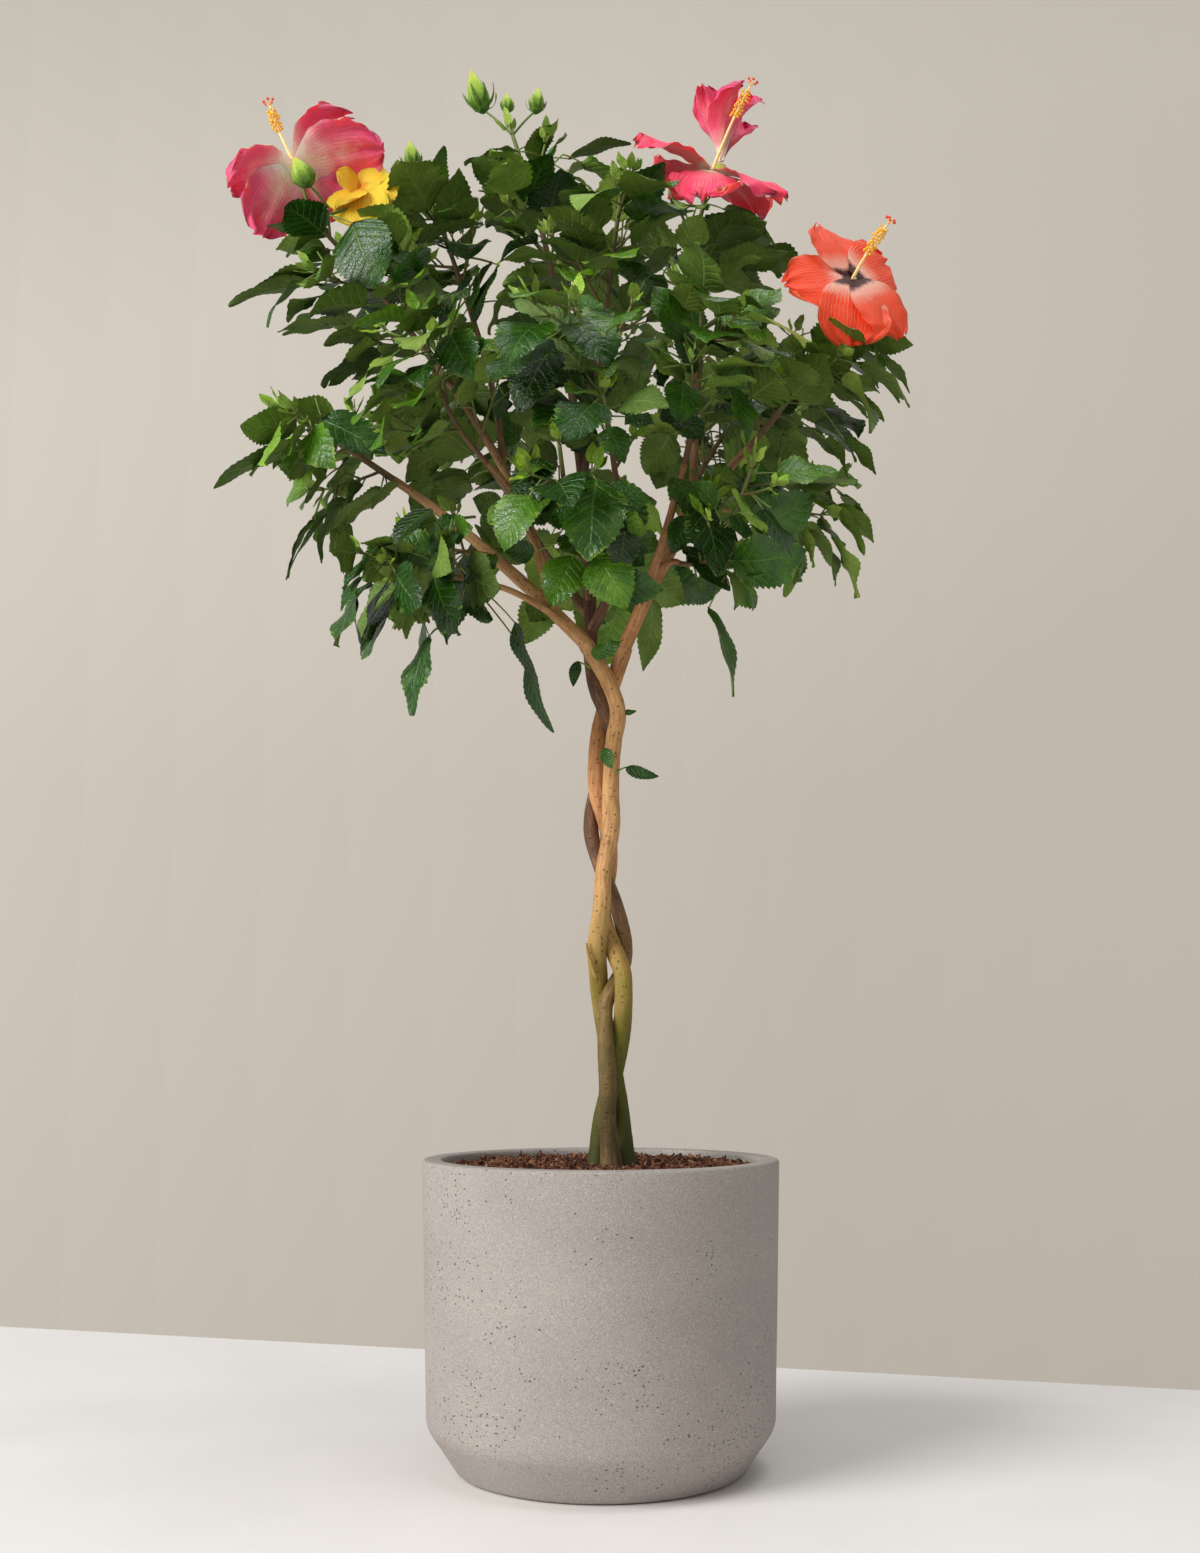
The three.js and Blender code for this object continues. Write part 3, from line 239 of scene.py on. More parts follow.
# Buds: mass, base, tip, width, how much fuller than the solid
BUDS = [
    ("top_leader", (-109, 0, 1201), (-122.5, 0, 1244.9), 19, 1),
    ("top_leader", (-87, 2, 1202), (-88, 2, 1222), 12, 1),
    ("top_leader", (-61, 0, 1200), (-58, 0, 1227), 14, 1),
    ("upper_left", (-254, -84, 1082), (-268, -88, 1108), 15, 1.3),
    ("top_left", (-170, -20, 1132), (-176, -20, 1162), 15, 1),
]

# Small leaves on the trunk: blade base, blade tip, width, where its stalk starts, how light it is
SPROUTS = [
    ((-9, -24, 679), (18, -32, 688), 18, (0, -16, 672), 0.5),
    ((-20, -18, 674), (-24, -22, 650), 11, (-8, -12, 668), 0.3),
    ((19, -15, 629), (31, -15, 630), 6, (14, -14, 624), 0.3),
    ((4, -23, 596), (10, -27, 577), 12, (8, -17, 592), 0.4),
    ((21, -18, 580), (50, -22, 571), 12, (12, -17, 574), 0.16),
]
# A pruned twig on the tan stem: its foot and its cut tip
STUB = ((-3, -12, 397), (-12.5, -19, 428))

# ---- sizes and looks of the finer growth
MM = 0.001
FULL_TURN = 2 * math.pi
BLADE_START = 0.27
BLADE_GRID, SMALL_GRID = (26, 6), (14, 4)
BLADE_HALF_THICKNESS, TEETH = 0.22, 0.055
TWIGLETS_PER_TWIG, TWIGLET_LENGTH, TWIGLET_RADII = 2, (18, 34), (0.8, 1.0)
TURNED_SHARE, ANTHERS, CHIPS = 0.16, 58, 2600
# The masses beyond these places have their leaves in the back or the left piece
BACK_FROM, LEFT_TO = 60, -40
AXIS_RADIUS, INNER_FOOT_HEIGHT = 2, CHAMFER_HEIGHT + WALL / 2
# Tones carry a chance or an age, a second chance, and whether a sheet faces up
PLAIN, BARK_TONE = (0.5, 0.5, 1.0, 1.0), (0.2, 0.5, 1.0, 1.0)
# Waves of a stem's bark: rise, seed, how fine across and along
STEM_WAVES = ((0.75, 0, 1.1, 0.018), (0.42, 40, 3.4, 0.03), (0.22, 80, 6.0, 0.22))
# Bark colours: pale, middle, dark, and how much algae shows
BARKS = {
    "tan": ((216, 170, 116), (188, 140, 88), (138, 98, 58), 1.0),
    "brown": ((134, 94, 68), (98, 68, 48), (58, 40, 28), 0.45),
    "ochre": ((216, 160, 108), (188, 132, 84), (136, 92, 58), 1.0),
}

# Seeds: those that are stepped take the step times the number of the mass, stem or bough
MASS_SEED, MASS_SEED_STEP, FINER_SEED, FINER_SEED_STEP = 1000, 77, 7000, 131
LEAF_SEED, TWIG_SEED, SPROUT_SEED, FLOWER_SEED, CHIP_SEED = 300, 41, 91, 77, 11
STEM_BARK_SEED, STEM_BARK_STEP, STUB_BARK_SEED = 11, 7, 70
BOUGH_BARK_SEED, BOUGH_BARK_STEP, JOINT_SPACING = 100, 9, 34

# ---- camera and light
# The camera's place in millimetres, its tilt upwards, and its lens and the photograph's height in pixels
CAMERA_PLACE, CAMERA_TILT = (-0.72, -1462.75, 344.27), 0.156
LENS_PIXELS, PHOTO_HEIGHT, SENSOR_WIDTH = 1692.8, 1553, 36
TABLE_TURN, TABLE_BACK, TABLE_SIZE, TABLE_THICKNESS = math.radians(-16.1), 0.4855, (2.2, 1.9), 0.05
DRUM_SIDES, DRUM_RADIUS, DRUM_HEIGHTS = 96, 4.6, (-2.5, 5.5)
# Lamps: name, place, size, power, colour. They all point at one spot.
LAMPS = [
    ("key", (-3.2, -2.2, 2.3), 2.8, 207, (1, 0.985, 0.965)),
    ("fill", (0.2, -3.0, 0.9), 1.6, 3, (1, 0.985, 0.97)),
    ("top", (0.5, -0.3, 3.2), 2.0, 31, (1, 1, 1)),
]
LIT_SPOT = Vector((0, 0, 0.6))

UP = np.array([0.0, 0.0, 1.0])
# The middle of the crown, which the leaves turn away from
HEART = np.array([0.0, 10.0, 860.0])
# A direction that no limb or bud runs along, to start its cross directions from
ASKEW = np.array([0.3, 1.0, 0.2])
# Where the small leaves on the trunk face
SPROUT_FACING = np.array([-0.2, -1.0, 0.35])


def vec(values):
    return np.array(values, float)


def mix(a, b, t):
    return a + (b - a) * t


def cross(a, b):
    x = a[..., 1] * b[..., 2] - a[..., 2] * b[..., 1]
    y = a[..., 2] * b[..., 0] - a[..., 0] * b[..., 2]
    z = a[..., 0] * b[..., 1] - a[..., 1] * b[..., 0]
    return np.stack([x, y, z], -1)


def size_of(v):
    return math.sqrt(v[0] * v[0] + v[1] * v[1] + v[2] * v[2])


def unit(v):
    return v / size_of(v)


def rows_unit(rows):
    return rows / np.linalg.norm(rows, axis=-1, keepdims=True)


def seeded(seed):
    """The same repeatable numbers between 0 and 1 that the solids use."""
    state = [seed & 0xFFFFFFFF]

    def draw():
        state[0] = (state[0] + 0x6D2B79F5) & 0xFFFFFFFF
        t = state[0]
        t = ((t ^ (t >> 15)) * (t | 1)) & 0xFFFFFFFF
        t ^= (t + (((t ^ (t >> 7)) * (t | 61)) & 0xFFFFFFFF)) & 0xFFFFFFFF
        return ((t ^ (t >> 14)) & 0xFFFFFFFF) / 4294967296

    return draw


# ---- limbs
def tangents(points):
    last = len(points) - 1
    return [unit(points[min(i + 1, last)] - points[max(i - 1, 0)]) for i in range(last + 1)]


def bowed(start, end, bow, steps):
    control = (start + end) * 0.5 + bow
    ts = [i / steps for i in range(steps + 1)]
    return [start * ((1 - t) * (1 - t)) + control * (2 * t * (1 - t)) + end * (t * t) for t in ts]


def tapered(butt, tip, steps):
    return [mix(butt, tip, i / steps) for i in range(steps + 1)]


def spot_on(points, share):
    """The place a share of the way along a run, and the run's direction there."""
    along = share * (len(points) - 1)
    k = min(math.floor(along), len(points) - 2)
    return mix(points[k], points[k + 1], along - k), tangents(points)[k]


def stem_radius(height, slimming):
    bottom, top = BRAID[0][0], BRAID[-1][0]
    body = mix(STEM_RADIUS, STEM_TOP_RADIUS, (height - bottom) / (top - bottom))
    rise = min((height - bottom) / FLARE_HEIGHT, 1)
    slimmer = slimming * math.sin(math.pi * (height - bottom) / (top - bottom))
    return (body + (STEM_FOOT_RADIUS - STEM_RADIUS) * (1 - rise) * (1 - rise)) * (1 - slimmer)


def braid_spot(strand, height):
    k = 0
    while k < len(BRAID) - 2 and BRAID[k + 1][0] < height:
        k += 1
    low, high = BRAID[k], BRAID[k + 1]
    before, after = BRAID[max(k - 1, 0)], BRAID[min(k + 2, len(BRAID) - 1)]
    span = high[0] - low[0]
    t = (height - low[0]) / span
    spot = []
    for axis in (0, 1):
        a, b = low[strand][axis], high[strand][axis]
        slope_a = (b - before[strand][axis]) / (high[0] - before[0]) * span
        slope_b = (after[strand][axis] - a) / (after[0] - low[0]) * span
        t2, t3 = t * t, t * t * t
        spot.append((2 * t3 - 3 * t2 + 1) * a + (t3 - 2 * t2 + t) * slope_a
                    + (3 * t2 - 2 * t3) * b + (t3 - t2) * slope_b)
    return [spot[0], spot[1], height]


def push_apart(one, other, slimming_one, slimming_other):
    last = 2 * len(one) - 2
    for i in range(last + 1):
        for j in range(max(i - 4, 0), min(i + 4, last) + 1):
            m, n = one[i // 2], one[(i + 1) // 2]
            p, q = other[j // 2], other[(j + 1) // 2]
            dx, dy, dz = [(m[k] + n[k] - p[k] - q[k]) * 0.5 for k in (0, 1, 2)]
            needed = stem_radius(m[2], slimming_one) + stem_radius(p[2], slimming_other) + STEM_CLEARANCE
            distance = math.sqrt(dx * dx + dy * dy + dz * dz)
            if distance >= needed:
                continue
            scale = (needed - distance) * PUSH_SHARE / math.hypot(dx, dy)
            for point in (m, n):
                point[0] += dx * scale
                point[1] += dy * scale
            for point in (p, q):
                point[0] -= dx * scale
                point[1] -= dy * scale


def braided_stems():
    bottom, top = BRAID[0][0], BRAID[-1][0]
    heights = [mix(bottom, top, i / STEM_STEPS) for i in range(STEM_STEPS + 1)]
    runs = [[braid_spot(strand, height) for height in heights] for strand in (1, 2, 3)]
    for _ in range(PUSH_ROUNDS):
        for a, b in ((0, 1), (1, 2), (0, 2)):
            push_apart(runs[a], runs[b], STEM_SLIMMING[a], STEM_SLIMMING[b])
    return [dict(name=name, points=[vec(p) for p in run], radii=[stem_radius(h, slimming) for h in heights])
            for name, run, slimming in zip(("tan", "brown", "ochre"), runs, STEM_SLIMMING)]


def bough_limb(spec, limbs):
    name, parent_name, at, tip, bow, (butt, end) = spec
    parent = next(limb for limb in limbs if limb["name"] == parent_name)
    start = spot_on(parent["points"], at)[0]
    if at == 1:
        start = start + tangents(parent["points"])[-1] * GAP
    points = bowed(start, vec(tip), vec(bow), BOUGH_STEPS)
    return dict(name=name, points=points, radii=tapered(butt, end, BOUGH_STEPS), parent=parent, at=at)


def limb_samples(limbs):
    centres, radii = [], []
    for limb in limbs:
        points = limb["points"]
        for i in range(len(points) - 1):
            count = math.ceil(size_of(points[i + 1] - points[i]) / SAMPLE_STEP)
            for k in range(count):
                centres.append(mix(points[i], points[i + 1], k / count))
                radii.append(mix(limb["radii"][i], limb["radii"][i + 1], k / count))
    return np.array(centres), np.array(radii)


stems = braided_stems()
limbs = list(stems)
for spec in BOUGHS:
    limbs.append(bough_limb(spec, limbs))
SAMPLE_CENTRES, SAMPLE_RADII = limb_samples(limbs)


# ---- room for twigs and leaves
class Space:
    """A mass's own space, and what has grown in it so far."""

    def __init__(self, spec):
        self.name, middle, self.reach, leader, self.bright = spec
        self.bough = TIP_BOUGHS.get(self.name, self.name)
        self.centre, self.leader = vec(middle), vec(leader)
        self.edges, self.facets = [], []

    def meet(self, spaces):
        others = [s for s in spaces if s is not self]
        self.other_centres = np.array([s.centre for s in others])
        self.other_reach = np.array([float(s.reach) for s in others])
        self.apart = 2 * np.linalg.norm(self.other_centres - self.centre, axis=1)

    def holds(self, point, margin):
        own = ((point - self.centre) ** 2).sum() - self.reach ** 2
        theirs = ((point - self.other_centres) ** 2).sum(1) - self.other_reach ** 2
        return bool(((theirs - own) / self.apart >= margin).all())

    def reaches(self, point):
        return size_of(point - self.centre) <= self.reach

    def take(self, shape):
        self.edges.append(shape[0])
        if len(shape[1]):
            self.facets.append(shape[1])

    def crossed(self, shape):
        edges, facets = shape
        if self.facets and any_pierced(edges, np.concatenate(self.facets)):
            return True
        return bool(self.edges) and any_pierced(np.concatenate(self.edges), facets)


def any_pierced(edges, facets):
    """Whether any line goes through any facet."""
    run = (edges[:, 1] - edges[:, 0])[:, None]
    one = (facets[:, 1] - facets[:, 0])[None]
    two = (facets[:, 2] - facets[:, 0])[None]
    normal = cross(run, two)
    size = (one * normal).sum(-1)
    real = np.abs(size) >= 1e-9
    size = np.where(real, size, 1.0)
    offset = edges[:, 0][:, None] - facets[:, 0][None]
    u = (offset * normal).sum(-1) / size
    turned = cross(offset, one)
    v = (run * turned).sum(-1) / size
    t = (two * turned).sum(-1) / size
    return bool((real & (u >= 0) & (u <= 1) & (v >= 0) & (u + v <= 1) & (t >= 0) & (t <= 1)).any())


def thin_shape(outline, middle):
    n = len(outline)
    facets = np.array([[outline[i], outline[(i + 1) % n], middle] for i in range(n)])
    edges = [[outline[i], outline[(i + 1) % n]] for i in range(n)]
    edges += [[outline[0], middle], [middle, outline[n // 2]]]
    return np.array(edges), facets


def leaf_outline(leaf):
    start = mix(leaf["root"], leaf["middle"], LEAF_ROOT_CLEAR / size_of(leaf["root"] - leaf["middle"]))
    return thin_shape([start, leaf["right"], leaf["tip"], leaf["left"]], leaf["middle"])


def run_shape(points):
    return np.array([[points[i - 1], points[i]] for i in range(1, len(points))]), []


def segment_distances(a, b, points):
    run = b - a
    t = np.clip((points - a) @ run / (run @ run), 0, 1)
    return np.linalg.norm(points - a - t[:, None] * run, axis=1)


def facet_distances(a, b, c, points):
    edges = np.minimum(segment_distances(a, b, points), segment_distances(b, c, points))
    edges = np.minimum(edges, segment_distances(c, a, points))
    normal = cross(b - a, c - a)
    area = normal @ normal
    u = cross(np.broadcast_to(c - b, points.shape), points - b) @ normal
    v = cross(np.broadcast_to(a - c, points.shape), points - c) @ normal
    inside = (u >= 0) & (v >= 0) & (u + v <= area)
    return np.where(inside, np.abs((points - a) @ normal) / math.sqrt(area), edges)


def clear_of_limbs(leaf):
    near = np.linalg.norm(SAMPLE_CENTRES - leaf["middle"], axis=1) < 130
    points, radii = SAMPLE_CENTRES[near], SAMPLE_RADII[near]
    if not len(points):
        return True
    root, tip, middle, left, right = [leaf[k] for k in ("root", "tip", "middle", "left", "right")]
    for a, b in ((root, right), (right, tip), (tip, left), (left, root)):
        if (facet_distances(a, b, middle, points) < radii + LIMB_MARGIN).any():
            return False
    return True


def run_clear(points, radius):
    for i in range(1, len(points)):
        for k in range(6):
            spot = mix(points[i - 1], points[i], (k + 1) / 6)
            gap = np.linalg.norm(SAMPLE_CENTRES - spot, axis=1)
            if (gap < radius + SAMPLE_RADII + LIMB_MARGIN).any():
                return False
    return True


def leaf_fits(space, leaf):
    corners = [leaf[k] for k in ("tip", "left", "right", "middle")]
    if not all(space.holds(corner, SPACE_MARGIN + LEAF_THICKNESS) for corner in corners):
        return False
    return clear_of_limbs(leaf)


# ---- the growth rule
def branch_direction(direction, turn, spread):
    flat = UP if abs(direction[2]) < 0.95 else vec((1, 0, 0))
    side = unit(cross(direction, flat))
    other = cross(side, direction)
    out = side * math.cos(turn) + other * math.sin(turn)
    return unit(direction * math.cos(spread) + out * math.sin(spread))


def blade_face(root, along, tilt):
    face = unit(root - HEART) * 0.9 + UP * (0.55 + tilt)
    return unit(face - along * (face @ along))


def leaf_shape(root, along, face, length, width, droop, fold):
    right = unit(cross(along, face))
    middle = root + along * (length * 0.54)
    tip = middle + along * (length * 0.46 * math.cos(droop)) - face * (length * 0.46 * math.sin(droop))
    widest = root + along * (length * 0.5) + face * fold
    base = root + along * (length * BLADE_START)
    return dict(root=root, base=base, middle=middle, tip=tip, face=face, width=width,
                right=widest + right * (width / 2), left=widest - right * (width / 2))


def seeded_leaf(twig, t, turn, size, chance):
    root, direction = spot_on(twig["points"], t)
    along = branch_direction(direction, turn, mix(0.85, 1.2, chance[0]))
    along = unit(along + unit(root - HEART) * 0.4 + UP * mix(-0.5, 0.05, chance[1]))
    face = blade_face(root, along, mix(-0.25, 0.35, chance[2]))
    length = size * mix(*LEAF_LENGTH, chance[3])
    width = length * LEAF_WIDTH_RATIO * mix(0.85, 1.1, chance[4])
    return leaf_shape(root, along, face, length, width, mix(0.15, 0.65, chance[5]), width * 0.07)


def seeded_twig(space, leader, t, turn, chance):
    start, direction = spot_on(leader["points"], t)
    direction = branch_direction(direction, turn, mix(0.8, 1.15, chance[0]))
    length = space.reach * mix(*TWIG_LENGTH, chance[1])
    for scale in (1, 0.8, 0.6, 0.42):
        end = start + direction * (length * scale)
        end[2] += length * scale * mix(0.05, 0.25, chance[2])
        if space.holds(end, TWIG_ROOM) and space.reaches(end) and run_clear([start, end], TWIG_RADII[1]):
            return dict(points=[start, end], radii=list(TWIG_RADII))
    return None


def fitting_leaf(space, twig, t, turn, chance, leaves, sizes=(1, 0.84, 0.7), apart=LEAF_APART):
    for size in sizes:
        for extra in (0, 1.1, -1.1, 2.2):
            leaf = seeded_leaf(twig, t, turn + extra, size, chance)
            if not space.reaches(leaf["middle"]) or not space.holds(leaf["tip"], SPACE_MARGIN):
                continue
            if any(size_of(other["middle"] - leaf["middle"]) < apart for other in leaves):
                continue
            outline = leaf_outline(leaf)
            if space.crossed(outline) or not leaf_fits(space, leaf):
                continue
            space.take(outline)
            return leaf
    return None


def twig_leaves(space, twig, draw, leaves):
    points = twig["points"]
    length = sum(size_of(points[i] - points[i - 1]) for i in range(1, len(points)))
    count = max(2, math.floor(length * 0.7 / LEAF_SPACING + 0.5))
    first_turn = draw() * FULL_TURN
    for i in range(count):
        chance = [draw() for _ in range(6)]
        t = mix(0.3, 0.97, i / (count - 1))
        leaf = fitting_leaf(space, twig, t, first_turn + i * TURN, chance, leaves)
        if leaf:
            leaf["age"] = t
            leaves.append(leaf)


def nearest_on_twigs(twigs, target):
    best = None
    for twig in twigs:
        points = twig["points"]
        for i in range(1, len(points)):
            for k in range(1, 5):
                spot = mix(points[i - 1], points[i], k / 4)
                if best is None or size_of(spot - target) < size_of(best - target):
                    best = spot
    return best


def stalk_to(twigs, base, inwards, radius):
    start = nearest_on_twigs(twigs, base)
    end = base + inwards * 3
    sag = size_of(start - end) * 0.08
    return dict(points=bowed(start, end, vec((0, 0, sag)), 2), radii=tapered(radius, radius * 0.85, 2))


def single_leaf(spec, twigs):
    base, tip, width = vec(spec[:3]), vec(spec[3:6]), spec[6]
    along = unit(tip - base)
    face = blade_face(base, along, 0)
    right = unit(cross(along, face))
    length = size_of(base - tip)
    middle = mix(base, tip, 0.5) + face * (length * 0.07)
    widest = mix(base, tip, 0.4) + face * (length * 0.07 + width * 0.07)
    return dict(root=nearest_on_twigs(twigs, base), base=base, middle=middle, tip=tip, face=face,
                width=width, right=widest + right * (width / 2), left=widest - right * (width / 2),
                age=0.3, single=True)


def square_to(axis, hint):
    """Two directions square to an axis and to each other."""
    side = unit(cross(axis, hint))
    return side, cross(axis, side)


def flower_frame(flower):
    axis = unit(vec(flower.axis))
    return vec(flower.centre), axis, *square_to(axis, vec((0, 1, 0)))


def petal_frame(flower, k):
    centre, axis, side, other = flower_frame(flower)
    turn = flower.roll + k * FULL_TURN / PETALS
    out = side * math.cos(turn) + other * math.sin(turn)
    along = out * math.cos(flower.rises[k]) + axis * math.sin(flower.rises[k])
    return centre, axis, along, cross(axis, out)


def petal_shape(flower, k):
    centre, axis, along, across = petal_frame(flower, k)
    length, breadth = flower.length, flower.breadth

    def spot(forward, sideways, lift):
        return (centre + along * (forward * length) + across * (sideways * length * breadth)
                + axis * (lift * length))

    outline = [spot(PETAL_ROOT, 0, 0), spot(0.45, -0.27, 0.02), spot(0.86, -0.3, -0.04),
               spot(1, 0, -0.07), spot(0.86, 0.3, 0.02), spot(0.45, 0.27, 0.05)]
    return thin_shape(outline, spot(0.55, 0, 0.03))


def mass_leader(space, bough):
    points, last = bough["points"], len(bough["points"]) - 1
    direction = tangents(points)[last]
    start = points[last] + direction * (GAP + 0.05)
    control = start + direction * (size_of(start - space.leader) * 0.45)
    bow = control - (start + space.leader) * 0.5
    return dict(points=bowed(start, space.leader, bow, LEADER_STEPS),
                radii=tapered(bough["radii"][last], LEADER_TIP, LEADER_STEPS))


def add_single_leaves(space, table, twigs, leaves, whole=False):
    """The table's leaves of this mass, where they fit, and if whole is set, with their tips inside too."""
    for spec in table.get(space.name, ()):
        leaf = single_leaf(spec, twigs)
        if leaf_fits(space, leaf) and (not whole or space.reaches(leaf["tip"])):
            leaves.append(leaf)
            space.take(leaf_outline(leaf))


def grow_mass(space, index):
    """The same twigs and leaves as the solid has, in the same order of draws."""
    draw = seeded(MASS_SEED + index * MASS_SEED_STEP)
    bough = next(limb for limb in limbs if limb["name"] == space.bough)
    leader = mass_leader(space, bough)
    twigs, stalks, leaves = [leader], [], []
    first_turn = draw() * FULL_TURN
    for i in range(TWIGS_PER_MASS):
        chance = [draw() for _ in range(3)]
        t = mix(0.12, 0.86, i / (TWIGS_PER_MASS - 1))
        twig = seeded_twig(space, leader, t, first_turn + i * TURN, chance)
        if twig:
            twigs.append(twig)
    add_single_leaves(space, SINGLE_LEAVES, twigs, leaves)
    for flower in FLOWERS:
        if flower.mass == space.name:
            for k in range(PETALS):
                space.take(petal_shape(flower, k))
            centre, axis = flower_frame(flower)[:2]
            stalks.append(stalk_to(twigs, centre - axis * CALYX_LENGTH, axis, PETIOLE_RADIUS * 1.3))
    for mass, base, tip, *_ in BUDS:
        if mass == space.name:
            base = vec(base)
            stalks.append(stalk_to(twigs, base, unit(vec(tip) - base), PETIOLE_RADIUS))
    for run in twigs + stalks:
        space.take(run_shape(run["points"]))
    for twig in twigs:
        twig_leaves(space, twig, draw, leaves)
    return dict(twigs=twigs, stalks=stalks, leaves=leaves)


def near_flower(spot, share=0.9):
    return any(size_of(spot - vec(flower.centre)) < share * flower.length for flower in FLOWERS)


def grow_finer(space, parts, index):
    """Short twiglets with smaller leaves between the others, within the same reach."""
    draw = seeded(FINER_SEED + index * FINER_SEED_STEP)
    twiglets, small = [], []
    add_single_leaves(space, MORE_LEAVES, parts["twigs"], parts["leaves"], whole=True)
    taken = list(parts["leaves"])
    for twig in parts["twigs"]:
        turn = draw() * FULL_TURN
        for i in range(TWIGLETS_PER_TWIG):
            chance = [draw() for _ in range(3)]
            share = mix(0.25, 0.8, (i + chance[0] * 0.6) / TWIGLETS_PER_TWIG)
            start, direction = spot_on(twig["points"], share)
            direction = branch_direction(direction, turn + i * TURN, mix(0.6, 1.0, chance[1]))
            end = start + direction * mix(*TWIGLET_LENGTH, chance[2]) + UP * 4
            if not (space.holds(end, 3) and space.reaches(end) and run_clear([start, end], 1)):
                continue
            twiglet = dict(points=[start, end], radii=TWIGLET_RADII[::-1])
            twiglets.append(twiglet)
            first = draw() * FULL_TURN
            for j, t in enumerate((0.6, 1.0)):
                leaf_chance = [draw() for _ in range(6)]
                leaf = fitting_leaf(space, twiglet, t, first + j * TURN, leaf_chance, taken, (0.8, 0.64, 0.5))
                if leaf and space.reaches(leaf["tip"]) and not near_flower(leaf["middle"]):
                    leaf["age"] = 0.75
                    taken.append(leaf)
                    small.append(leaf)
    tips = [(twig["points"][-1], tangents(twig["points"])[-1], draw()) for twig in parts["twigs"]]
    return dict(twiglets=twiglets, small=small, tufts=[tip for tip in tips if not near_flower(tip[0])])


spaces = [Space(spec) for spec in MASSES]
for space in spaces:
    space.meet(spaces)
growth = []
for index, space in enumerate(spaces):
    parts = grow_mass(space, index)
    parts.update(grow_finer(space, parts, index))
    growth.append(parts)


# ---- meshes
def add_object(name, data):
    made = bpy.data.objects.new(name, data)
    bpy.context.scene.collection.objects.link(made)
    return made


class Batch:
    """Gathers points and faces, with a map place, a tone and a grain place for each point."""

    def __init__(self):
        self.points, self.maps, self.tones, self.grains = [], [], [], []
        self.loops, self.sizes, self.count = [], [], 0

    def add(self, points, faces, maps=None, tone=PLAIN, grain=None):
        points = np.asarray(points, float).reshape(-1, 3)
        n = len(points)
        self.points.append(points * MM)
        self.maps.append(np.zeros((n, 2)) if maps is None else maps)
        self.tones.append(np.broadcast_to(np.asarray(tone, float), (n, 4)))
        self.grains.append(np.zeros((n, 3)) if grain is None else grain * MM)
        for block in faces:
            block = np.asarray(block, np.int64)
            self.loops.append((block + self.count).ravel())
            self.sizes.append(np.full(len(block), block.shape[1]))
        self.count += n

    def build(self, name, material, slot_name, *nodes):
        mesh = bpy.data.meshes.new(name)
        points, loops, sizes = [np.concatenate(part) for part in (self.points, self.loops, self.sizes)]

        def fill(rows, key, values, kind=np.float32):
            rows.foreach_set(key, values.astype(kind).ravel())

        mesh.vertices.add(len(points))
        fill(mesh.vertices, "co", points)
        mesh.loops.add(len(loops))
        fill(mesh.loops, "vertex_index", loops, np.int32)
        mesh.polygons.add(len(sizes))
        fill(mesh.polygons, "loop_start", np.concatenate([[0], np.cumsum(sizes)[:-1]]), np.int32)
        fill(mesh.polygons, "loop_total", sizes, np.int32)
        mesh.update(calc_edges=True)
        fill(mesh.polygons, "use_smooth", np.ones(len(sizes)), bool)
        fill(mesh.uv_layers.new(name="Blade").data, "uv", np.concatenate(self.maps)[loops])
        for key, kind, field, values in (("tone", "FLOAT_COLOR", "color", self.tones),
                                         ("grain", "FLOAT_VECTOR", "vector", self.grains)):
            fill(mesh.attributes.new(key, kind, "POINT").data, field, np.concatenate(values))
        mesh.validate()
        piece = add_object(name, mesh)
        mesh.materials.append(material)
        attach(piece, "root")
        if nodes:
            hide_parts(*nodes)
        return piece


def grid_faces(rows, columns, wrap=False):
    i, j = np.indices((rows - 1, columns if wrap else columns - 1)).reshape(2, -1)
    k = (j + 1) % columns
    return np.stack([i * columns + j, i * columns + k, (i + 1) * columns + k, (i + 1) * columns + j], 1)


def shell(batch, rings, tone=PLAIN, grain=None):
    """A skin through equal rings of points, closed at both ends."""
    rings = np.asarray(rings)
    rows, sides = rings.shape[:2]
    end = np.arange(sides)
    faces = [grid_faces(rows, sides, wrap=True), end[::-1][None], (end + (rows - 1) * sides)[None]]
    batch.add(rings, faces, tone=tone, grain=grain)


def two_sided(batch, spots, raised, s, v, upper, under):
    """An upper and an under sheet that meet at the margin, each with its tone."""
    rows, columns = spots.shape[:2]
    place = np.stack([np.repeat(s, columns, 1), np.repeat((v + 1) / 2, rows, 0)], -1).reshape(-1, 2)
    faces = grid_faces(rows, columns)
    batch.add(spots + raised, [faces], place, upper)
    batch.add(spots - raised, [faces[:, ::-1]], place, under)


def turns(sides):
    return np.arange(sides) * FULL_TURN / sides


def level_ring(turn, reach, height):
    return np.stack([np.cos(turn) * reach, np.sin(turn) * reach, np.zeros(len(turn)) + height], 1)


def twisted(one, other, angle):
    """Two square directions, both turned by an angle."""
    return one * np.cos(angle) + other * np.sin(angle), other * np.cos(angle) - one * np.sin(angle)


def smooth_run(points, radii, fine):
    """Points and radii of a rounded curve through a run."""
    points, radii = np.array(points), np.array(radii, float)
    last = len(points) - 1
    where = np.linspace(0, last, last * fine + 1)
    k = np.minimum(where.astype(int), last - 1)
    t = (where - k)[:, None]
    before, a = points[np.maximum(k - 1, 0)], points[k]
    b, after = points[k + 1], points[np.minimum(k + 2, last)]
    curve = 0.5 * (2 * a + (b - before) * t + (2 * before - 5 * a + 4 * b - after) * t ** 2
                   + (3 * a - before - 3 * b + after) * t ** 3)
    return curve, radii[k] + (radii[k + 1] - radii[k]) * t[:, 0]


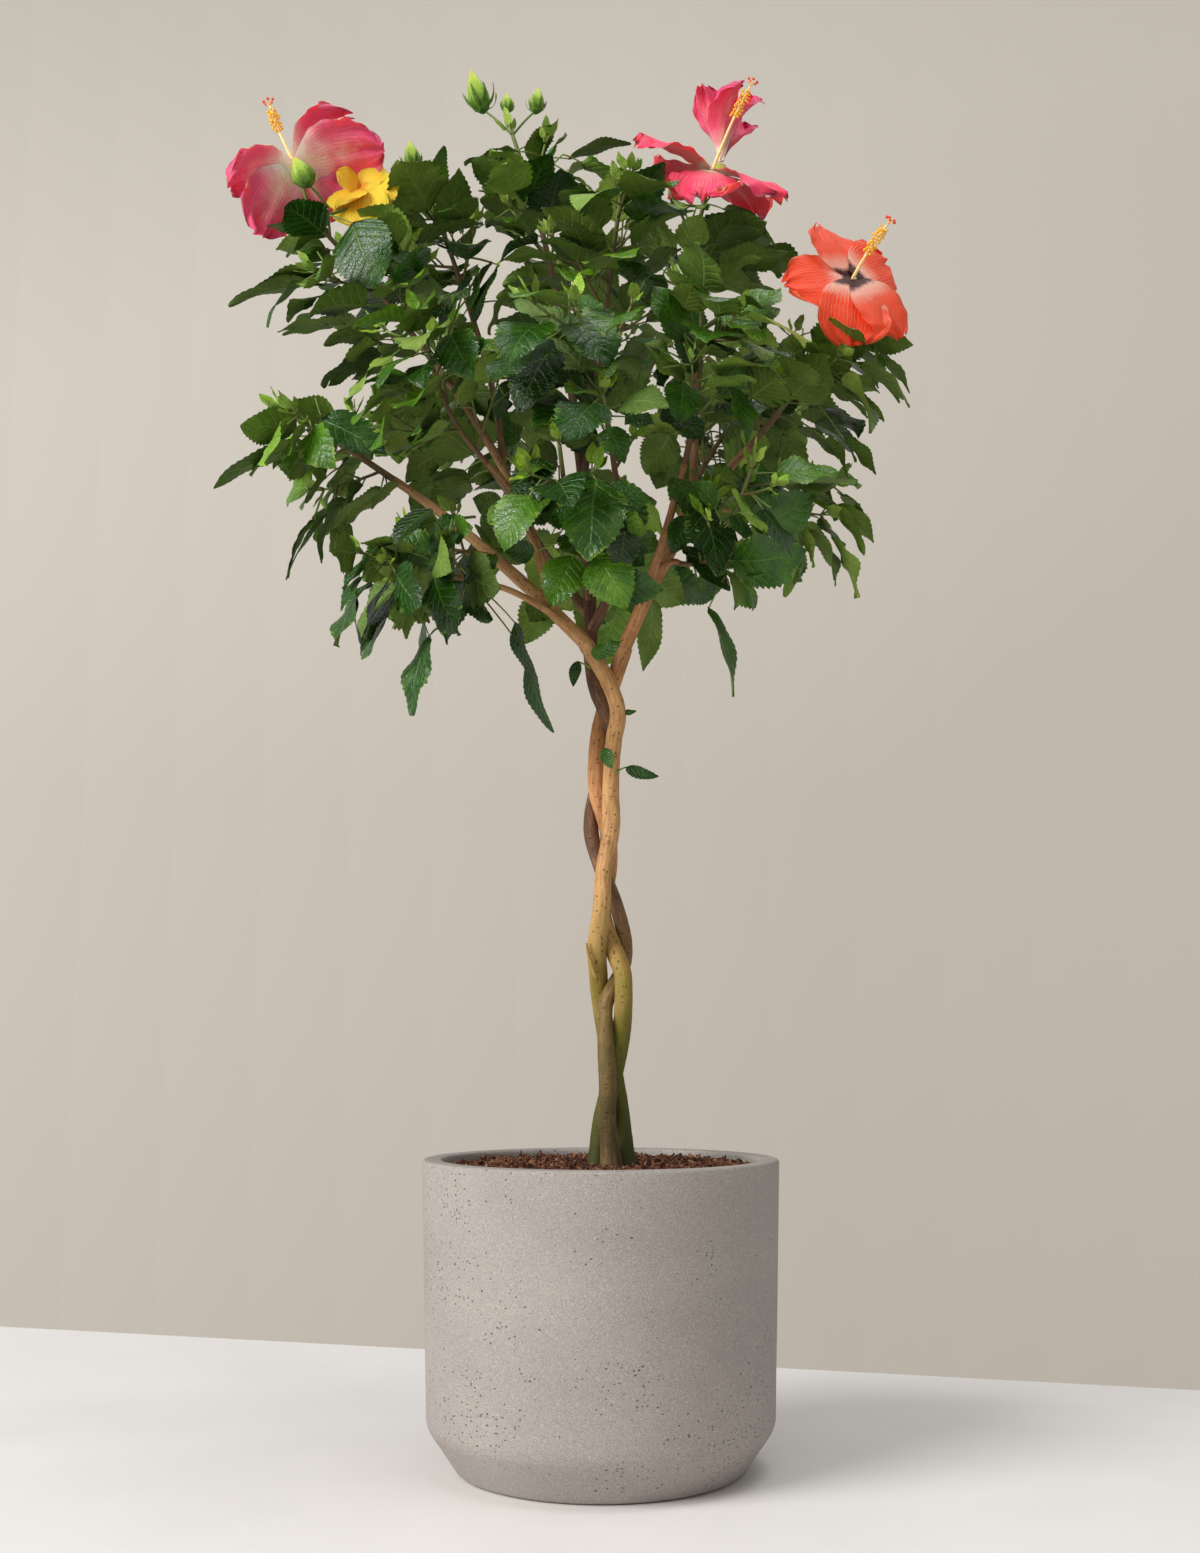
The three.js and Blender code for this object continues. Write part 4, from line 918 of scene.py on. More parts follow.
def carried_frames(points):
    """Two directions square to a run, carried along it without a twist."""
    directions = rows_unit(np.gradient(points, axis=0))
    side = unit(cross(directions[0], ASKEW))
    sides = []
    for direction in directions:
        side = unit(side - direction * (side @ direction))
        sides.append(side)
    return np.array(sides), cross(np.array(sides), directions)


def tube(batch, points, radii, sides, tone, relief=None, age=None):
    """A round limb. relief gives the bark's rise for each angle and length; age tints it along its run."""
    points, radii = np.asarray(points, float), np.asarray(radii, float)
    one, two = carried_frames(points)
    turn = turns(sides)
    lengths = np.concatenate([[0], np.cumsum(np.linalg.norm(np.diff(points, axis=0), axis=1))])
    reach = np.repeat(radii[:, None], sides, 1)
    if relief:
        reach = reach + relief(turn, lengths)
    around = np.cos(turn)[:, None] * one[:, None] + np.sin(turn)[:, None] * two[:, None]
    grain = np.stack([np.cos(turn) * radii[:, None], np.sin(turn) * radii[:, None],
                      np.repeat(lengths[:, None], sides, 1)], -1).reshape(-1, 3)
    tones = np.tile(np.array(tone, float), (len(points) * sides, 1))
    if age:
        tones[:, 0] = np.repeat(np.linspace(*age, len(points)), sides)
    shell(batch, points[:, None] + around * reach[..., None], tones, grain)


def wavy(turn, lengths, seed, across, along):
    """Smooth noise round and along a limb, from -1 to 1."""
    return np.array([[noise.noise((math.cos(a) * across, math.sin(a) * across + seed, length * along))
                      for a in turn] for length in lengths])


def stem_relief(seed):
    def relief(turn, lengths):
        return sum(rise * wavy(turn, lengths, seed + far, across, along)
                   for rise, far, across, along in STEM_WAVES) + 0.35
    return relief


def bough_relief(seed):
    def relief(turn, lengths):
        joints = np.exp(-((lengths % JOINT_SPACING - JOINT_SPACING / 2) / 2.6) ** 2)[:, None] * 0.3
        return 0.35 * wavy(turn, lengths, seed, 1.6, 0.05) + joints
    return relief


def blade(batch, leaf, grid, draw, tone, turned=False):
    """One toothed, veined blade. A turned one shows its paler under side upwards."""
    rows, columns = grid[0] + 1, grid[1] + 1
    s, v = np.linspace(0, 1, rows)[:, None], np.linspace(-1, 1, columns)[None, :]
    base, middle, tip, width = leaf["base"], leaf["middle"], leaf["tip"], leaf["width"]
    t = size_of(middle - base) / (size_of(middle - base) + size_of(tip - middle))
    t = min(max(t, 0.3), 0.7)
    control = (middle - (1 - t) ** 2 * base - t * t * tip) / (2 * t * (1 - t))
    spine = (1 - s) ** 2 * base + 2 * s * (1 - s) * control + s * s * tip
    along = rows_unit(2 * (1 - s) * (control - base) + 2 * s * (tip - control))
    up = rows_unit(leaf["face"] - (along @ leaf["face"])[:, None] * along)
    up, right = twisted(up, cross(along, up), mix(-0.35, 0.35, draw()) * s)
    half = width / 2 * np.maximum(s ** 0.52 * (1 - s) ** 0.86 / 0.4075, 0.025)
    tooth = np.where(np.arange(rows)[:, None] % 2 == 1, 1, -1) * ((s > 0.16) & (s < 0.97))
    half = half * (1 + TEETH * tooth)
    cup, wave, phase = mix(-0.1, 0.24, draw()), mix(0.02, 0.07, draw()), draw() * 6.28
    edge = np.abs(v)
    lift = half * cup * edge ** 1.2 + width * wave * edge ** 2 * np.sin(s * 11 + phase + np.sign(v) * 1.3)
    lift = lift - width * 0.022 * np.cos(FULL_TURN * (s * 7 - edge * 1.9)) * edge * (1 - edge)
    lift = lift - width * 0.022 * (1 - edge) ** 6
    forward = size_of(tip - base) * (0.035 * edge ** 2 + 0.018 * edge * (tooth > 0)) * (1 - s)
    spots = (spine[:, None] + right[:, None] * (half * v)[..., None]
             + up[:, None] * lift[..., None] + along[:, None] * forward[..., None])
    raised = up[:, None] * (BLADE_HALF_THICKNESS * (1 - edge ** 4) * np.ones_like(s))[..., None]
    upper, under = (0.0, 1.0) if turned else (1.0, 0.0)
    two_sided(batch, spots, raised, s, v, (tone, draw(), upper, 1), (tone, draw(), under, 1))


def petiole(batch, leaf, draw):
    root, base = leaf["root"], leaf["base"]
    lift = UP * (size_of(base - root) * mix(0.03, 0.12, draw()))
    points = bowed(root, base + unit(leaf["middle"] - base) * 1.5, lift, 5)
    tube(batch, points, tapered(0.95, 0.62, 5), 5, (0.9, draw(), 1, 1), age=(0.75, 1))


def tuft(leaves, stalks, spot, direction, chance, draw):
    """Young folded leaves at a growing tip."""
    for k in range(4):
        along = branch_direction(direction, chance * 6.28 + k * TURN, mix(0.25, 0.85, k / 3))
        along = unit(along + UP * 0.35)
        length = mix(13, 27, draw())
        face = blade_face(spot, along, 0.2)
        leaf = leaf_shape(spot + along * 1.5, along, face, length, length * 0.42, -0.1, 0)
        blade(leaves, leaf, SMALL_GRID, draw, mix(0.86, 1.0, draw()))
        petiole(stalks, leaf, draw)


def age_tone(space, leaf, draw):
    lively = space.bright + 0.2 * leaf.get("age", 0.3) ** 2 + mix(-0.22, 0.34, draw())
    return min(max(lively, 0.02), 0.95)


# ---- looks
def srgb(r, g, b):
    """The linear values of a colour given by its 0 to 255 levels."""
    def line(c):
        c /= 255
        return c / 12.92 if c <= 0.04045 else ((c + 0.055) / 1.055) ** 2.4
    return (line(r), line(g), line(b), 1.0)


def working(operation):
    """A method that works a wire together with another value, in a math node."""
    return lambda wire, other=0.0: wire.look.node("Math", {0: wire, 1: other}, operation=operation)


class Wire:
    """A node's output. Sums, products and comparisons of wires make math nodes."""

    def __init__(self, look, socket):
        self.look, self.socket = look, socket

    __add__, __sub__, __mul__ = working("ADD"), working("SUBTRACT"), working("MULTIPLY")
    __gt__, __lt__, larger = working("GREATER_THAN"), working("LESS_THAN"), working("MAXIMUM")
    __abs__, fraction = working("ABSOLUTE"), working("FRACT")

    def __rsub__(self, other):
        return self.look.node("Math", {0: other, 1: self}, operation="SUBTRACT")

    def span(self, low, high, to_low=0.0, to_high=1.0):
        """The value moved from one range to another, and held within it."""
        return self.look.node("MapRange", {"Value": self, "From Min": low, "From Max": high,
                                           "To Min": to_low, "To Max": to_high})

    def ramp(self, *stops):
        """A colour from stops of place, red, green and blue."""
        made = self.look.node("ValToRGB", {"Fac": self})
        ramp = made.socket.node.color_ramp
        while len(ramp.elements) < len(stops):
            ramp.elements.new(0.5)
        for element, (place, *colour) in zip(ramp.elements, stops):
            element.position = place
            element.color = srgb(*colour)
        return made


class Look:
    """A node material with short calls for the usual nodes."""

    def __init__(self, name, **sockets):
        self.material = bpy.data.materials.new(name)
        self.material.use_nodes = True
        self.tree = self.material.node_tree
        self.shader = self.tree.nodes["Principled BSDF"]
        for key, value in sockets.items():
            self.shader.inputs[key.replace("_", " ")].default_value = value

    def node(self, kind, inputs, *outs, **settings):
        """Adds a node. Gives its first output, or those asked for."""
        made = self.tree.nodes.new("ShaderNode" + kind)
        for key, value in settings.items():
            setattr(made, key, value)
        for key, value in inputs.items():
            self.feed(made.inputs[key], value)
        wires = [Wire(self, made.outputs[out]) for out in outs or (0,)]
        return wires if len(wires) > 1 else wires[0]

    def feed(self, socket, value):
        if isinstance(value, Wire):
            self.tree.links.new(value.socket, socket)
        else:
            socket.default_value = srgb(*value) if socket.type == "RGBA" else value

    def parts(self, colour):
        return self.node("SeparateColor", {"Color": colour}, 0, 1, 2)

    def tones(self):
        return self.parts(self.node("Attribute", {}, "Color", attribute_name="tone"))

    def grain(self):
        return self.node("Attribute", {}, "Vector", attribute_name="grain")

    def here(self):
        return self.node("TexCoord", {}, "Object")

    def on_blade(self):
        """How far along a blade or petal, and how far across it from -1 to 1."""
        s, v, _ = self.node("SeparateXYZ", {0: self.node("UVMap", {}, uv_map="Blade")}, 0, 1, 2)
        return s, v * 2.0 - 1.0

    def blend(self, factor, a, b, mode="MIX"):
        return self.node("Mix", {0: factor, 6: a, 7: b}, 2, data_type="RGBA", blend_type=mode)

    def noise(self, place, scale, detail=3.0, rough=0.55):
        inputs = {"Vector": place, "Scale": scale, "Detail": detail, "Roughness": rough}
        return self.node("TexNoise", inputs, "Fac")

    def cells(self, place, scale):
        """How far from the nearest cell's middle, and that cell's three chances."""
        far, colour = self.node("TexVoronoi", {"Vector": place, "Scale": scale}, "Distance", "Color")
        return far, self.parts(colour)

    def stretched(self, place, *scales):
        return self.node("VectorMath", {0: place, 1: scales}, operation="MULTIPLY")

    def finish(self, colour, rough, height=None, distance=0.0, strength=0.6):
        """Sets the colour, the roughness and, from a height, the bump."""
        self.feed(self.shader.inputs["Base Color"], colour)
        self.feed(self.shader.inputs["Roughness"], rough)
        if height is not None:
            bump = self.node("Bump", {"Height": height, "Distance": distance, "Strength": strength})
            self.feed(self.shader.inputs["Normal"], bump)
        return self.material


def leaf_look():
    look = Look("leaf_green", Specular_IOR_Level=0.42)
    tone, chance, upper = look.tones()
    s, across = look.on_blade()
    edge, here = abs(across), look.here()
    patch, speck = look.noise(here, 60, 2), look.noise(here, 620, 2)
    shade = tone + patch.span(0.3, 0.7, -0.1, 0.1)
    top = shade.ramp((0, 8, 42, 0), (0.28, 24, 70, 6), (0.55, 70, 116, 16), (0.8, 126, 168, 34),
                     (1, 166, 208, 54))
    below = shade.ramp((0, 76, 102, 34), (0.5, 112, 140, 50), (1, 164, 194, 84))
    between = abs((s * 7.0 - edge * 1.9).fraction() - 0.5)
    side_vein = between.span(0.03, 0.09, 1, 0) * edge.span(0.55, 0.98, 0.75, 0)
    vein = side_vein.larger(edge.span(s * -0.05 + 0.075, 0.012))
    net = look.node("TexVoronoi", {"Vector": here, "Scale": 300.0}, feature="DISTANCE_TO_EDGE")
    net = net.span(0, 0.12, 1, 0)
    top = look.blend(vein * 0.34, top, (122, 158, 66))
    top = look.blend(net * 0.1, top, (104, 140, 54))
    below = look.blend(vein * 0.5, below, (158, 178, 112))
    colour = look.blend(upper, below, top)
    colour = look.blend(speck.span(0.35, 0.65, 0, 0.34), colour, (112, 132, 70), "MULTIPLY")
    fresh = look.blend(chance, (234, 250, 214), (255, 244, 214))
    colour = look.blend(0.6, colour, fresh, "MULTIPLY")
    gloss = look.noise(here, 120, 3).span(0.3, 0.7, 0.2, 0.38)
    height = vein * -0.7 + net * -0.25 + between.span(0, 0.3, 1, 0) * -0.45 + patch * 0.6
    return look.finish(colour, upper * (gloss - 0.6) + 0.6, height, 0.0008, 0.7)


def twig_look():
    look = Look("young_twig", Specular_IOR_Level=0.4)
    age, chance, _ = look.tones()
    streak = look.noise(look.stretched(look.grain(), 900, 900, 90), 1)
    shade = age + streak.span(0.3, 0.7, -0.12, 0.12)
    colour = shade.ramp((0, 118, 84, 60), (0.4, 112, 92, 58), (0.7, 96, 108, 52), (1, 122, 148, 70))
    colour = look.blend(chance.span(0.55, 1, 0, 0.45), colour, (134, 70, 52))
    return look.finish(colour, 0.55, streak, 0.0004)


def bark_look(name, pale, mid, dark, green):
    """Young smooth bark: faint streaks, dark specks and dashes, and algae that thickens towards the foot."""
    look = Look(name, Specular_IOR_Level=0.35)
    grain, high = look.grain(), look.node("SeparateXYZ", {0: look.here()}, 2)
    streak = look.noise(look.stretched(grain, 420, 420, 60), 1, 5, 0.6)
    cloud = look.noise(look.stretched(grain, 70, 70, 26), 1)
    warm = look.noise(look.stretched(grain, 120, 120, 45), 1)
    patches = look.noise(look.stretched(grain, 90, 90, 30), 1, 4)
    colour = (streak * 0.5 + cloud * 0.5).ramp((0.34, *dark), (0.48, *mid), (0.62, *pale))
    colour = look.blend(warm.span(0.55, 0.75, 0, 0.4), colour, (214, 158, 112))
    moss = (high.span(0.54, 0.3, 0, 0.9) + patches * 0.75).span(0.5, 1.05)
    algae = high.span(0.25, 0.42).ramp((0, 58, 62, 10), (0.4, 94, 94, 18), (1, 142, 124, 50))
    colour = look.blend(moss * green, colour, algae)
    far, chance = look.cells(look.stretched(grain, 270, 270, 210), 1)
    speck = far.span(0.14, 0.27, 1, 0) * (chance[0] > 0.45)
    colour = look.blend(speck * 0.8, colour, (92, 56, 34))
    far, chance = look.cells(look.stretched(grain, 130, 130, 420), 1)
    dash = far.span(0.14, 0.3, 1, 0) * (chance[0] > 0.8)
    colour = look.blend(dash * 0.5, colour, dark)
    colour = look.blend(high.span(0.71, 0.9, 0, 0.72), colour, (92, 68, 54))
    height = streak * 0.8 + speck * 0.5 - dash * 0.7
    return look.finish(colour, streak.span(0.3, 0.7, 0.55, 0.75), height, 0.001, 0.8)


def petal_look(name, rim, body, halo, throat, veins, streak):
    """A petal: throat, halo and body along it, with veins that fan out from the throat."""
    look = Look(name, Specular_IOR_Level=0.3, Sheen_Weight=0.05, Sheen_Roughness=0.4,
                Subsurface_Weight=0.55, Subsurface_Scale=0.0015)
    upper = look.tones()[2]
    s, across = look.on_blade()
    here = look.here()
    wander = look.noise(here, 90)
    line = abs((across * 9.5 + wander * 1.2).fraction() - 0.5)
    along = s + wander.span(0.3, 0.7, -0.03, 0.03) - line.span(0, 0.5, 1, 0) * 0.07
    colour = along.ramp((0, *throat), (0.09, *throat), (0.14, *halo), (0.38, *body), (1, *rim))
    line = line.span(0.02, 0.13, 1, 0) * s.span(0.15, 0.95, 0.9, 0.3) * along.span(0.08, 0.18)
    colour = look.blend(line * 0.75, colour, veins)
    inner = (s + wander.span(0.3, 0.7, -0.2, 0.2)).span(0.05, 0.8, 1, 0)
    colour = look.blend(abs(across).span(0, 0.6, 1, 0) * inner * streak, colour, (255, 226, 196))
    colour = look.blend((1.0 - upper) * 0.1, colour, (255, 206, 190))
    colour = look.blend(look.noise(here, 60).span(0.4, 0.7, 0, 0.12), colour, veins, "MULTIPLY")
    return look.finish(colour, 0.48, line + look.noise(here, 260) * 0.9, 0.001, 0.7)


def speckled_look(name, low, high, scale, rough, rise):
    look = Look(name, Specular_IOR_Level=0.35)
    patch = look.noise(look.here(), scale, 4)
    return look.finish(patch.ramp((0.3, *low), (0.7, *high)), rough, patch, rise)


def bud_look():
    look = Look("bud_green", Specular_IOR_Level=0.45)
    fleck = look.noise(look.here(), 380)
    shade = look.tones()[0] + fleck.span(0.3, 0.7, -0.15, 0.15)
    colour = shade.ramp((0, 54, 92, 22), (0.35, 118, 156, 40), (0.8, 168, 188, 66), (1, 190, 160, 92))
    return look.finish(colour, 0.5, fleck, 0.0005)


def planter_look():
    """Cast, sandblasted stone mix: sandy speckle, soft clouds and clusters of small open pores, painted dark
    as painted shade inside them.
    """
    look = Look("cast_planter", Specular_IOR_Level=0.35)
    here = look.here()
    cloud = look.noise(look.stretched(here, 1, 1, 1.6), 8, 4)
    sand, grit = look.noise(here, 1000, 3, 0.75), look.cells(here, 1400.0)[1]
    colour = cloud.ramp((0.3, 160, 153, 148), (0.7, 172, 165, 159))
    colour = look.blend(sand.span(0.38, 0.62, 0, 0.5), colour, (128, 120, 114))
    colour = look.blend((grit[0] > 0.9) * 0.22, colour, (226, 219, 212))
    colour = look.blend((grit[1] < 0.08) * 0.35, colour, (88, 80, 74))
    far, chance = look.cells(look.stretched(here, 1, 1, 1.4), 260.0)
    cluster = look.noise(look.stretched(here, 1, 1, 1.3), 13)
    pore = far.span(chance[1].span(0, 1, 0.1, 0.22), chance[1].span(0, 1, 0.16, 0.3), 1, 0)
    pore = pore * (chance[0] < cluster.span(0.48, 0.64, 0.02, 0.7))
    # Painted shade: the open pores are coloured dark for the shade inside their hollows.
    colour = look.blend(pore * 0.8, colour, (72, 64, 58))
    return look.finish(colour, 0.66, sand * 0.45 - pore, 0.0009, 0.9)


def soil_look(name, *stops):
    look = Look(name, Specular_IOR_Level=0.25)
    here = look.here()
    coarse = look.noise(here, 180, 4, 0.7)
    shade = look.tones()[0] * 0.6 + coarse * 0.4
    return look.finish(shade.ramp(*stops), 0.9, coarse + look.noise(here, 900, 3, 0.7) * 0.6, 0.0022, 0.9)


# ---- planter and soil
def inner_radius(height):
    return mix(WALL_FOOT_RADIUS, RIM_RADIUS, (height - CHAMFER_HEIGHT) / (RIM_HEIGHT - CHAMFER_HEIGHT)) - WALL


def rounded(profile):
    """A profile of (radius, height, rounding) with its corners eased."""
    points = []
    for i, (radius, height, ease) in enumerate(profile):
        here = np.array([radius, height], float)
        if not ease:
            points.append(here)
            continue
        before, after = np.array(profile[i - 1][:2]), np.array(profile[i + 1][:2])
        a = here + (before - here) * ease / np.linalg.norm(before - here)
        b = here + (after - here) * ease / np.linalg.norm(after - here)
        points += [(1 - t) ** 2 * a + 2 * t * (1 - t) * here + t * t * b for t in np.linspace(0, 1, 6)]
    return points


def divided(points, longest):
    made = [points[0]]
    for a, b in zip(points, points[1:]):
        steps = max(1, math.ceil(np.linalg.norm(b - a) / longest))
        made += [mix(a, b, k / steps) for k in range(1, steps + 1)]
    return np.array(made)


def make_planter():
    """The outside, over the rim and down the inside to the floor, as one turned skin."""
    profile = rounded([
        (AXIS_RADIUS, 0, 0), (BASE_RADIUS, 0, 4), (WALL_FOOT_RADIUS, CHAMFER_HEIGHT, 7),
        (RIM_RADIUS, RIM_HEIGHT, 3), (RIM_RADIUS - WALL, RIM_HEIGHT, 3.4),
        (inner_radius(INNER_FOOT_HEIGHT), INNER_FOOT_HEIGHT, 6), (BASE_RADIUS - WALL / 2, FLOOR, 4),
        (AXIS_RADIUS, FLOOR, 0)])
    turn, rings = turns(192), []
    for radius, height in divided(profile, 9):
        swell = [0.16 * noise.noise((math.cos(a) * 2.2, math.sin(a) * 2.2, height * 0.02)) for a in turn]
        rings.append(level_ring(turn, radius + np.array(swell) * (radius > 20), height))
    batch = Batch()
    shell(batch, rings)
    batch.build("planter", planter_look(), "planter", "pot")


def make_soil():
    edge = inner_radius(SOIL_LEVEL) - 2 * GAP
    turn = turns(96)
    rings = [level_ring(turn, radius, height) for radius, height in (
        (AXIS_RADIUS, FLOOR + GAP), (BASE_RADIUS - WALL / 2 - 2 * GAP, FLOOR + GAP),
        (inner_radius(INNER_FOOT_HEIGHT) - 2 * GAP, INNER_FOOT_HEIGHT), (edge, SOIL_LEVEL))]
    for radius in np.linspace(edge - 3, 3, 34):
        rise = [1.7 * noise.noise((x * 0.09, y * 0.09, 3)) + 1.1 * noise.noise((x * 0.3, y * 0.3, 9))
                for x, y, _ in level_ring(turn, radius, 0)]
        mound = 2.6 * math.exp(-(radius / 42) ** 2)
        rings.append(level_ring(turn, radius, SOIL_LEVEL + 0.2 + mound + np.array(rise)))
    batch = Batch()
    shell(batch, rings)
    look = soil_look("potting_mix", (0.2, 26, 16, 13), (0.5, 50, 31, 24), (0.8, 86, 56, 42))
    batch.build("soil_bed", look, "soil", "soil")
    make_chips(edge)


def turned_about(axis, angle):
    """The matrix of a turn about x, y or z."""
    i, j = (axis + 1) % 3, (axis + 2) % 3
    made = np.eye(3)
    made[i, i] = made[j, j] = math.cos(angle)
    made[i, j], made[j, i] = -math.sin(angle), math.sin(angle)
    return made


def make_chips(edge):
    """Bark chips scattered over the soil, fewer of them round the trunk."""
    batch, random = Batch(), np.random.default_rng(CHIP_SEED)
    corners = np.array([[x, y, z] for x in (-1, 1) for y in (-1, 1) for z in (-1, 1)], float)
    quads = [[0, 1, 3, 2], [4, 6, 7, 5], [0, 4, 5, 1], [2, 3, 7, 6], [0, 2, 6, 4], [1, 5, 7, 3]]
    for _ in range(CHIPS):
        radius, angle = (edge - 4) * math.sqrt(random.random()), random.random() * 6.283
        if radius < 34 and random.random() < 0.8:
            continue
        size = np.array([random.uniform(1.2, 5.0), random.uniform(0.5, 1.6), random.uniform(0.4, 1.2)])
        shape = corners * size * random.uniform(0.55, 1.15, (8, 3))
        turn = turned_about(2, random.uniform(0, 6.283)) @ turned_about(1, random.normal(0, 0.5))
        turn = turn @ turned_about(0, random.normal(0, 0.4))
        spot = [math.cos(angle) * radius, math.sin(angle) * radius, SOIL_LEVEL + 1.0 + random.uniform(0, 2.4)]
        batch.add(shape @ turn.T + spot, [quads], tone=(random.random(), 0.5, 1, 1))
    look = soil_look("bark_chip", (0.1, 40, 22, 17), (0.42, 86, 50, 36), (0.72, 132, 88, 64),
                     (0.95, 214, 176, 130))
    chips = batch.build("bark_chips", look, "soil")
    chips.data.polygons.foreach_set("use_smooth", np.zeros(len(chips.data.polygons), bool))


# ---- stems, boughs and twigs
def make_stems(looks):
    for i, stem in enumerate(stems):
        name, batch = stem["name"], Batch()
        points = [stem["points"][0] - UP * 1.5] + stem["points"][1:]
        tube(batch, *smooth_run(points, stem["radii"], 8), 32, BARK_TONE,
             relief=stem_relief(STEM_BARK_SEED + STEM_BARK_STEP * i))
        if name == "tan":
            stub = bowed(vec(STUB[0]), vec(STUB[1]), vec((-2, -1, 0)), 9)
            tube(batch, stub, tapered(2.0, 1.1, 9), 10, BARK_TONE, relief=bough_relief(STUB_BARK_SEED))
        batch.build("stem_" + name + "_bark", looks[name], "bark_" + name, "stem_" + name)


def make_boughs(looks):
    """The boughs, in one piece for each stem that they grow from."""
    home = {name: name for name in BARKS}
    pieces = {name: (Batch(), []) for name in BARKS}
    for i, limb in enumerate(limbs[len(stems):]):
        home[limb["name"]] = home[limb["parent"]["name"]]
        batch, nodes = pieces[home[limb["name"]]]
        points, radii = list(limb["points"]), list(limb["radii"])
        if limb["at"] == 1:
            points[0] = points[0] - tangents(points)[0] * 3
        else:
            radii[0] *= 1.25
        tube(batch, *smooth_run(points, radii, 9), 16, BARK_TONE,
             relief=bough_relief(BOUGH_BARK_SEED + BOUGH_BARK_STEP * i))
        nodes.append("bough_" + limb["name"])
    for strand, (batch, nodes) in pieces.items():
        batch.build("boughs_" + strand, looks[strand], "bark_tan", *nodes)


def make_twigs():
    batch, draw = Batch(), seeded(TWIG_SEED)
    for parts in growth:
        leader, *twigs = parts["twigs"]
        points = list(leader["points"])
        points[0] = points[0] - tangents(points)[0] * 1.2
        tube(batch, *smooth_run(points, leader["radii"], 6), 9, (0.1, draw() * 0.6, 1, 1), age=(0.05, 0.75))
        for twig in twigs:
            start, end = twig["points"]
            bent = bowed(start, end, UP * -0.05 * size_of(end - start), 7)
            tube(batch, bent, tapered(1.5, 0.95, 7), 6, (0.5, draw(), 1, 1), age=(0.3, 0.95))
        for stalk in parts["stalks"]:
            curve, widths = smooth_run(stalk["points"], stalk["radii"], 5)
            tube(batch, curve, widths * 0.9, 7, (0.9, draw() * 0.5, 1, 1), age=(0.7, 1.0))
        for twiglet in parts["twiglets"]:
            bent = bowed(*twiglet["points"], UP * -1.5, 4)
            tube(batch, bent, tapered(1.1, 0.7, 4), 5, (0.7, draw(), 1, 1), age=(0.55, 1.0))
    return batch


def make_sprouts(look):
    """Small leaves that break straight from the trunk."""
    batch, draw = Batch(), seeded(SPROUT_SEED)
    for base, tip, width, root, fresh in SPROUTS:
        root, leaf = vec(root), single_leaf((*base, *tip, width), [dict(points=[vec(root), vec(base)])])
        along = unit(leaf["tip"] - leaf["base"])
        leaf["face"] = unit(SPROUT_FACING - along * (SPROUT_FACING @ along))
        blade(batch, leaf, (18, 4), draw, fresh)
        tube(batch, bowed(root, leaf["base"] + along, UP * 1.5, 4), tapered(1.0, 0.6, 4), 5, (0.7, 0.5, 1, 1))
    batch.build("trunk_sprouts", look, "foliage")


def make_leaves(twig_batch):
    """The leaves, in one piece for each side of the plant. Their stalks go with the twigs."""
    pieces = {"left": (Batch(), []), "right": (Batch(), []), "back": (Batch(), [])}
    for index, (space, parts) in enumerate(zip(spaces, growth)):
        x, y, _ = space.centre
        side = "back" if y > BACK_FROM else "left" if x < LEFT_TO else "right"
        batch, nodes = pieces[side]
        nodes.append("foliage_" + space.name)
        draw = seeded(LEAF_SEED + index)
        for leaf in parts["leaves"]:
            single = "single" in leaf
            if not single and near_flower(leaf["middle"], 0.8):
                continue
            turned = draw() < TURNED_SHARE and not single
            tone = age_tone(space, leaf, draw) * (0.75 if single else 1)
            blade(batch, leaf, BLADE_GRID, draw, tone, turned)
            petiole(twig_batch, leaf, draw)
        for leaf in parts["small"]:
            blade(batch, leaf, SMALL_GRID, draw, min(age_tone(space, leaf, draw) + 0.12, 0.95))
            petiole(twig_batch, leaf, draw)
        for tip in parts["tufts"]:
            tuft(batch, twig_batch, *tip, draw)
    look = leaf_look()
    make_sprouts(look)
    for side, (batch, nodes) in pieces.items():
        batch.build("leaves_" + side, look, "foliage", *nodes)


# ---- flowers and buds
PETAL_PLACES = (0, 0.12, 0.28, 0.45, 0.62, 0.76, 0.88, 0.95, 1)
PETAL_HALF = (0.035, 0.075, 0.165, 0.26, 0.325, 0.345, 0.315, 0.25, 0.13)
WIDE_PETAL_HALF = (0.05, 0.17, 0.3, 0.355, 0.37, 0.36, 0.31, 0.24, 0.13)
CALYX_PROFILE = ((0.12, 0.62), (0.35, 0.85), (0.7, 1), (1, 0.8))
BUD_PROFILE = ((0, 0.3), (0.1, 0.66), (0.28, 0.95), (0.42, 1), (0.6, 0.82), (0.8, 0.45), (0.94, 0.16))
